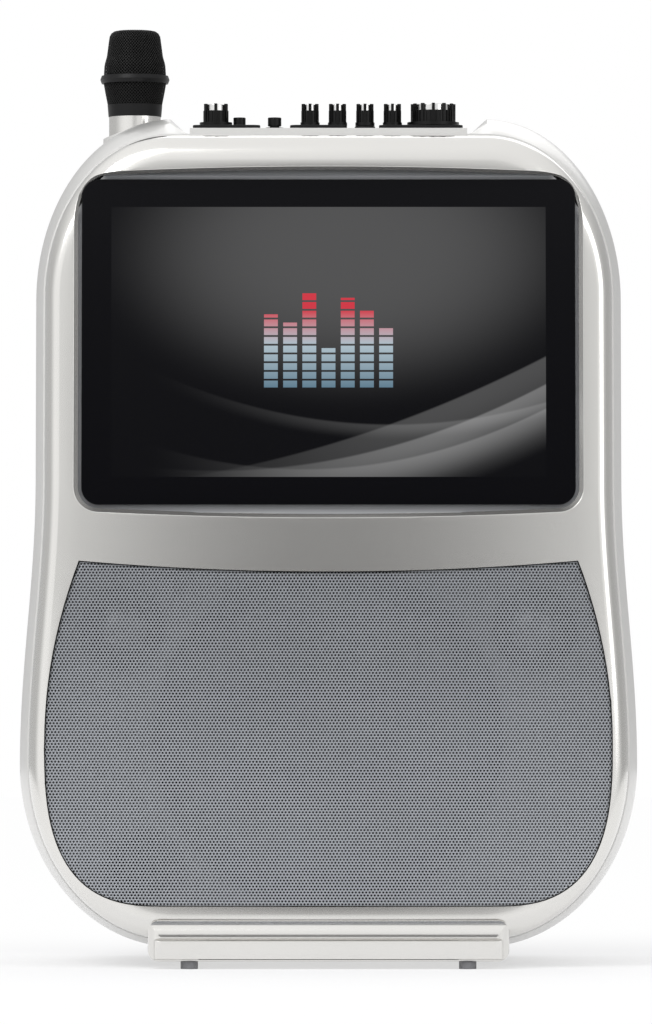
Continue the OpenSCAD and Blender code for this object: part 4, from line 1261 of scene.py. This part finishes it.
@dataclass
class Studio:
    """Camera, lamps, world and floor, in millimetres."""

    distance: float = 4000.0
    plane: float = -61.7
    eye: float = 140.0
    picture_high: float = 512.0
    picture_middle: Pair = (-1.25, 227.0)
    port_z: float = 0.175
    port_size: Pair = (0.16, 0.07)
    shadow_near: float = 0.5
    shadow_far: float = 0.96
    lamps: Tuple[Tuple[str, Point, float, float], ...] = (
        ("key", (-0.9, -1.3, 1.5), 1.0, 12.0),
        ("fill", (1.3, -1.2, 0.9), 1.0, 4.0),
        ("back", (0.3, 1.6, 1.4), 1.2, 4.0),
    )

    def camera(self) -> None:
        """Stands the camera where the photograph was taken from."""
        data = bpy.data.cameras.new("camera")
        data.sensor_width = 36.0
        data.lens = data.sensor_width * self.distance / self.picture_high
        data.shift_x = self.picture_middle[0] / self.picture_high
        data.shift_y = (self.picture_middle[1] - self.eye) / self.picture_high
        data.clip_start, data.clip_end = 0.1, 20.0
        obj = bpy.data.objects.new("camera", data)
        obj.location = (0, (self.plane - self.distance) * MM, self.eye * MM)
        obj.rotation_euler = (math.pi / 2, 0, 0)
        bpy.context.scene.collection.objects.link(obj)
        bpy.context.scene.camera = obj

    def lamp(self, name: str, place: Point, size: float, power: float) -> None:
        """Hangs one soft square lamp that faces the machine.

        Args:
            name: its name.
            place: where it hangs, in metres.
            size: length of its side, in metres.
            power: its power, in watts.
        """
        data = bpy.data.lights.new(name, "AREA")
        data.shape = "SQUARE"
        data.size = size
        data.energy = power
        obj = bpy.data.objects.new(name, data)
        obj.location = place
        aim = Vector((0, 0, 0.22)) - Vector(place)
        obj.rotation_euler = aim.to_track_quat("-Z", "Y").to_euler()
        bpy.context.scene.collection.objects.link(obj)

    def world(self) -> None:
        """White surroundings with a soft dark gap in front, as in a tent with a camera port."""
        world = bpy.data.worlds.new("studio")
        bpy.context.scene.world = world
        tree = Tree(world)
        where = tree.add("ShaderNodeTexCoord")["Generated"]
        at = tree.add("ShaderNodeSeparateXYZ", None, {"Vector": where})
        side = at["X"] / self.port_size[0]
        up = (at["Z"] - self.port_z) / self.port_size[1]
        near = (side * side + up * up).math("SQRT")
        port = (1 - near.step(0.3, 2.0)) * (at["Y"] < 0)
        low = 0.5 + 0.42 * (1 - at["Y"].step(-0.75, 0.15))
        sky = (low + (1 - low) * at["Z"].step(0.2, 0.9)) * (1 - 0.12 * at["X"])
        grey = sky * (1 - 0.97 * port)
        path = tree.add("ShaderNodeLightPath")
        seen = path["Is Camera Ray"].math("MAXIMUM", path["Is Transmission Ray"])
        level = seen + (1 - seen) * grey
        white = (1.0, 1.0, 1.0)
        glow = tree.add("ShaderNodeBackground", None, {"Color": white, "Strength": level})
        tree.add("ShaderNodeOutputWorld", None, {"Surface": glow["Background"]})

    def floor(self) -> None:
        """Lays the pale floor, which fades into the white background and glows less near the
        machine, as painted shade round it that also lets its cast shadow show.
        """
        model = Model()
        bmesh.ops.create_grid(model.bm, x_segments=2, y_segments=2, size=6000.0)
        tree = Tree(bpy.data.materials.new("floor"))
        path = tree.add("ShaderNodeLightPath")
        seen = path["Is Camera Ray"].math("MAXIMUM", path["Is Glossy Ray"])
        at = tree.place()
        away = (at["X"] * at["X"] + at["Y"] * at["Y"]).math("SQRT").step(130.0, 600.0)
        matt = tree.add("ShaderNodeBsdfDiffuse", None, {"Color": (0.9, 0.9, 0.91)})["BSDF"]
        glow = tree.add("ShaderNodeEmission", None, {"Color": (1.0, 1.0, 1.0), "Strength": 1.0})
        # weaker glow near the machine: painted shade round its foot, besides the cast shadow that
        # the floor shows
        share = seen * (self.shadow_near + (self.shadow_far - self.shadow_near) * away)
        mixed = tree.add(
            "ShaderNodeMixShader", None, {0: share, 1: matt, 2: glow["Emission"]}
        )["Shader"]
        tree.add("ShaderNodeOutputMaterial", None, {"Surface": mixed})
        obj = model.finish("studio_floor", tree.owner)

    def build(self) -> None:
        """Sets the whole studio."""
        bpy.context.scene.view_settings.view_transform = "Standard"
        self.camera()
        self.world()
        self.floor()
        for lamp in self.lamps:
            self.lamp(*lamp)


@dataclass
class Trim:
    """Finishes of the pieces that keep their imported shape."""

    black: Finish = Finish(
        "black_moulding", (0.006, 0.006, 0.0065), rough=0.4, depth=0.00003, gloss=0.22
    )
    knob: Finish = Finish("knob_moulding", (0.004, 0.004, 0.004), rough=0.34, gloss=0.2)
    speaker: Finish = Finish("speaker_moulding", (0.008, 0.008, 0.009), rough=0.45, gloss=0.2)
    rubber: Finish = Finish("feet_rubber", (0.2, 0.2, 0.21), rough=0.8, depth=0.00005)
    cover: Finish = Finish(
        "cover_texture", (0.055, 0.055, 0.058), rough=0.55, grain=1400.0, depth=0.00009
    )
    board: Finish = Finish(
        "painted_board", (0.07, 0.072, 0.075), rough=0.7, grain=500.0, depth=0.0001
    )
    cone: Finish = Finish(
        "pressed_paper", (0.014, 0.014, 0.015), rough=0.75, grain=900.0, depth=0.0001
    )
    circuit: Finish = Finish("solder_mask", (0.012, 0.10, 0.04), rough=0.3, coat=0.3)
    white: Finish = Finish("acetal", (0.72, 0.72, 0.69), rough=0.4)
    tray: Finish = Finish(
        "tray_moulding", (0.045, 0.045, 0.048), rough=0.5, grain=1800.0, depth=0.00005
    )
    ferrite: Finish = Finish(
        "ferrite", (0.05, 0.05, 0.052), rough=0.6, grain=1200.0, depth=0.00005
    )
    lens: Finish = Finish("lens", (0.03, 0.05, 0.12), rough=0.05, coat=1.0)
    steel: Brushed = Brushed("zinc_sheet", (0.55, 0.56, 0.58), 0.35)
    rod: Brushed = Brushed("ground_rod", (0.7, 0.7, 0.71), 0.18)
    cap: Brushed = Brushed("spun_cap", (0.85, 0.85, 0.84), 0.22)
    foil: Brushed = Brushed("dome_foil", (0.12, 0.12, 0.125), 0.35)

    def build(self, silver: Material, shell: Material) -> None:
        """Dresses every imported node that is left.

        Args:
            silver: the front's lacquer.
            shell: the rear shell's lacquer.
        """
        black, knob, cap = self.black.paint(), self.knob.paint(), self.cap.paint()
        for name in ("mic_volume", "echo", "delay", "treble", "bass", "main_volume"):
            refine(name + "_knob", knob, 0.12)
            refine(name + "_cap", cap, 0.15)
        for node in ("play_button", "eject_button", "power_switch"):
            refine(node, knob, 0.3)
        for node in ("control_pads", "rear_jacks", "power_inlet", "mic_switch"):
            refine(node, black, 0.3)
        refine("mic_rings", black)
        refine("mic_holder", shell, 0.3)
        refine("control_deck", shell, 0.25)
        for node in ("base_stand", "tray_front"):
            refine(node, silver, 0.25)
        refine("rear_cover", self.cover.paint(), 0.4)
        refine("rubber_feet", self.rubber.paint(), 0.3)
        refine("mic_handle", silver, 0.2)
        steel = self.steel.paint()
        cone = self.cone.paint()
        dress(self.board.paint(), "baffle")
        for node in ("woofer_cone", "woofer_surround", "dust_cap"):
            refine(node, cone)
        speaker = self.speaker.paint()
        for node in ("woofer_basket", "tweeters", "bass_port", "turntable"):
            refine(node, speaker)
        refine("tweeter_domes", self.foil.paint())
        refine("woofer_magnet", self.ferrite.paint(), 0.5)
        circuit = self.circuit.paint()
        dress(circuit, "main_board", "power_supply", "control_board")
        dress(steel, "display_bracket", "potentiometers", "drive_housing", "tray_plate")
        dress(steel, "spindle_motor")
        dress(black, "display_panel", "case_screws", "speaker_screws")
        refine("disc_tray", self.tray.paint(), 0.3)
        refine("pickup_sled", self.tray.paint(), 0.15)
        refine("guide_rods", self.rod.paint(), 0.1)
        refine("pickup_lens", self.lens.paint(), 0.1)
        white = self.white.paint()
        refine("tray_rails", white, 0.2)
        refine("sled_gear", white)


def main() -> None:
    """Builds the sub-assemblies in order."""
    logging.basicConfig(level=logging.INFO, format="%(message)s")
    Studio().build()
    silver = Lacquer("silver_lacquer", (0.80, 0.79, 0.765)).paint()
    shell = Lacquer("shell_lacquer", (0.74, 0.735, 0.72), metallic=0.55, rough=0.34).paint()
    housing = Housing()
    housing.build_bezel(silver)
    housing.build_shell(shell)
    housing.build_grille(Perforated("grille_paint_and_shade", (0.43, 0.45, 0.485)).paint())
    low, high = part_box("screen_glass")
    middle = tuple((low + high) / 2 / MM)
    refine("screen_glass", Picture("lit_glass", middle, housing.lean).paint(), 0.3)
    wire = Finish("mesh_wire", (0.012, 0.012, 0.012), rough=0.35, gloss=0.3)
    foam = Finish("head_foam", (0.003, 0.003, 0.003), rough=0.9, gloss=0.1)
    Microphone().build_head(wire.paint(), foam.paint())
    Trim().build(silver, shell)


if __name__ == "__main__":
    main()
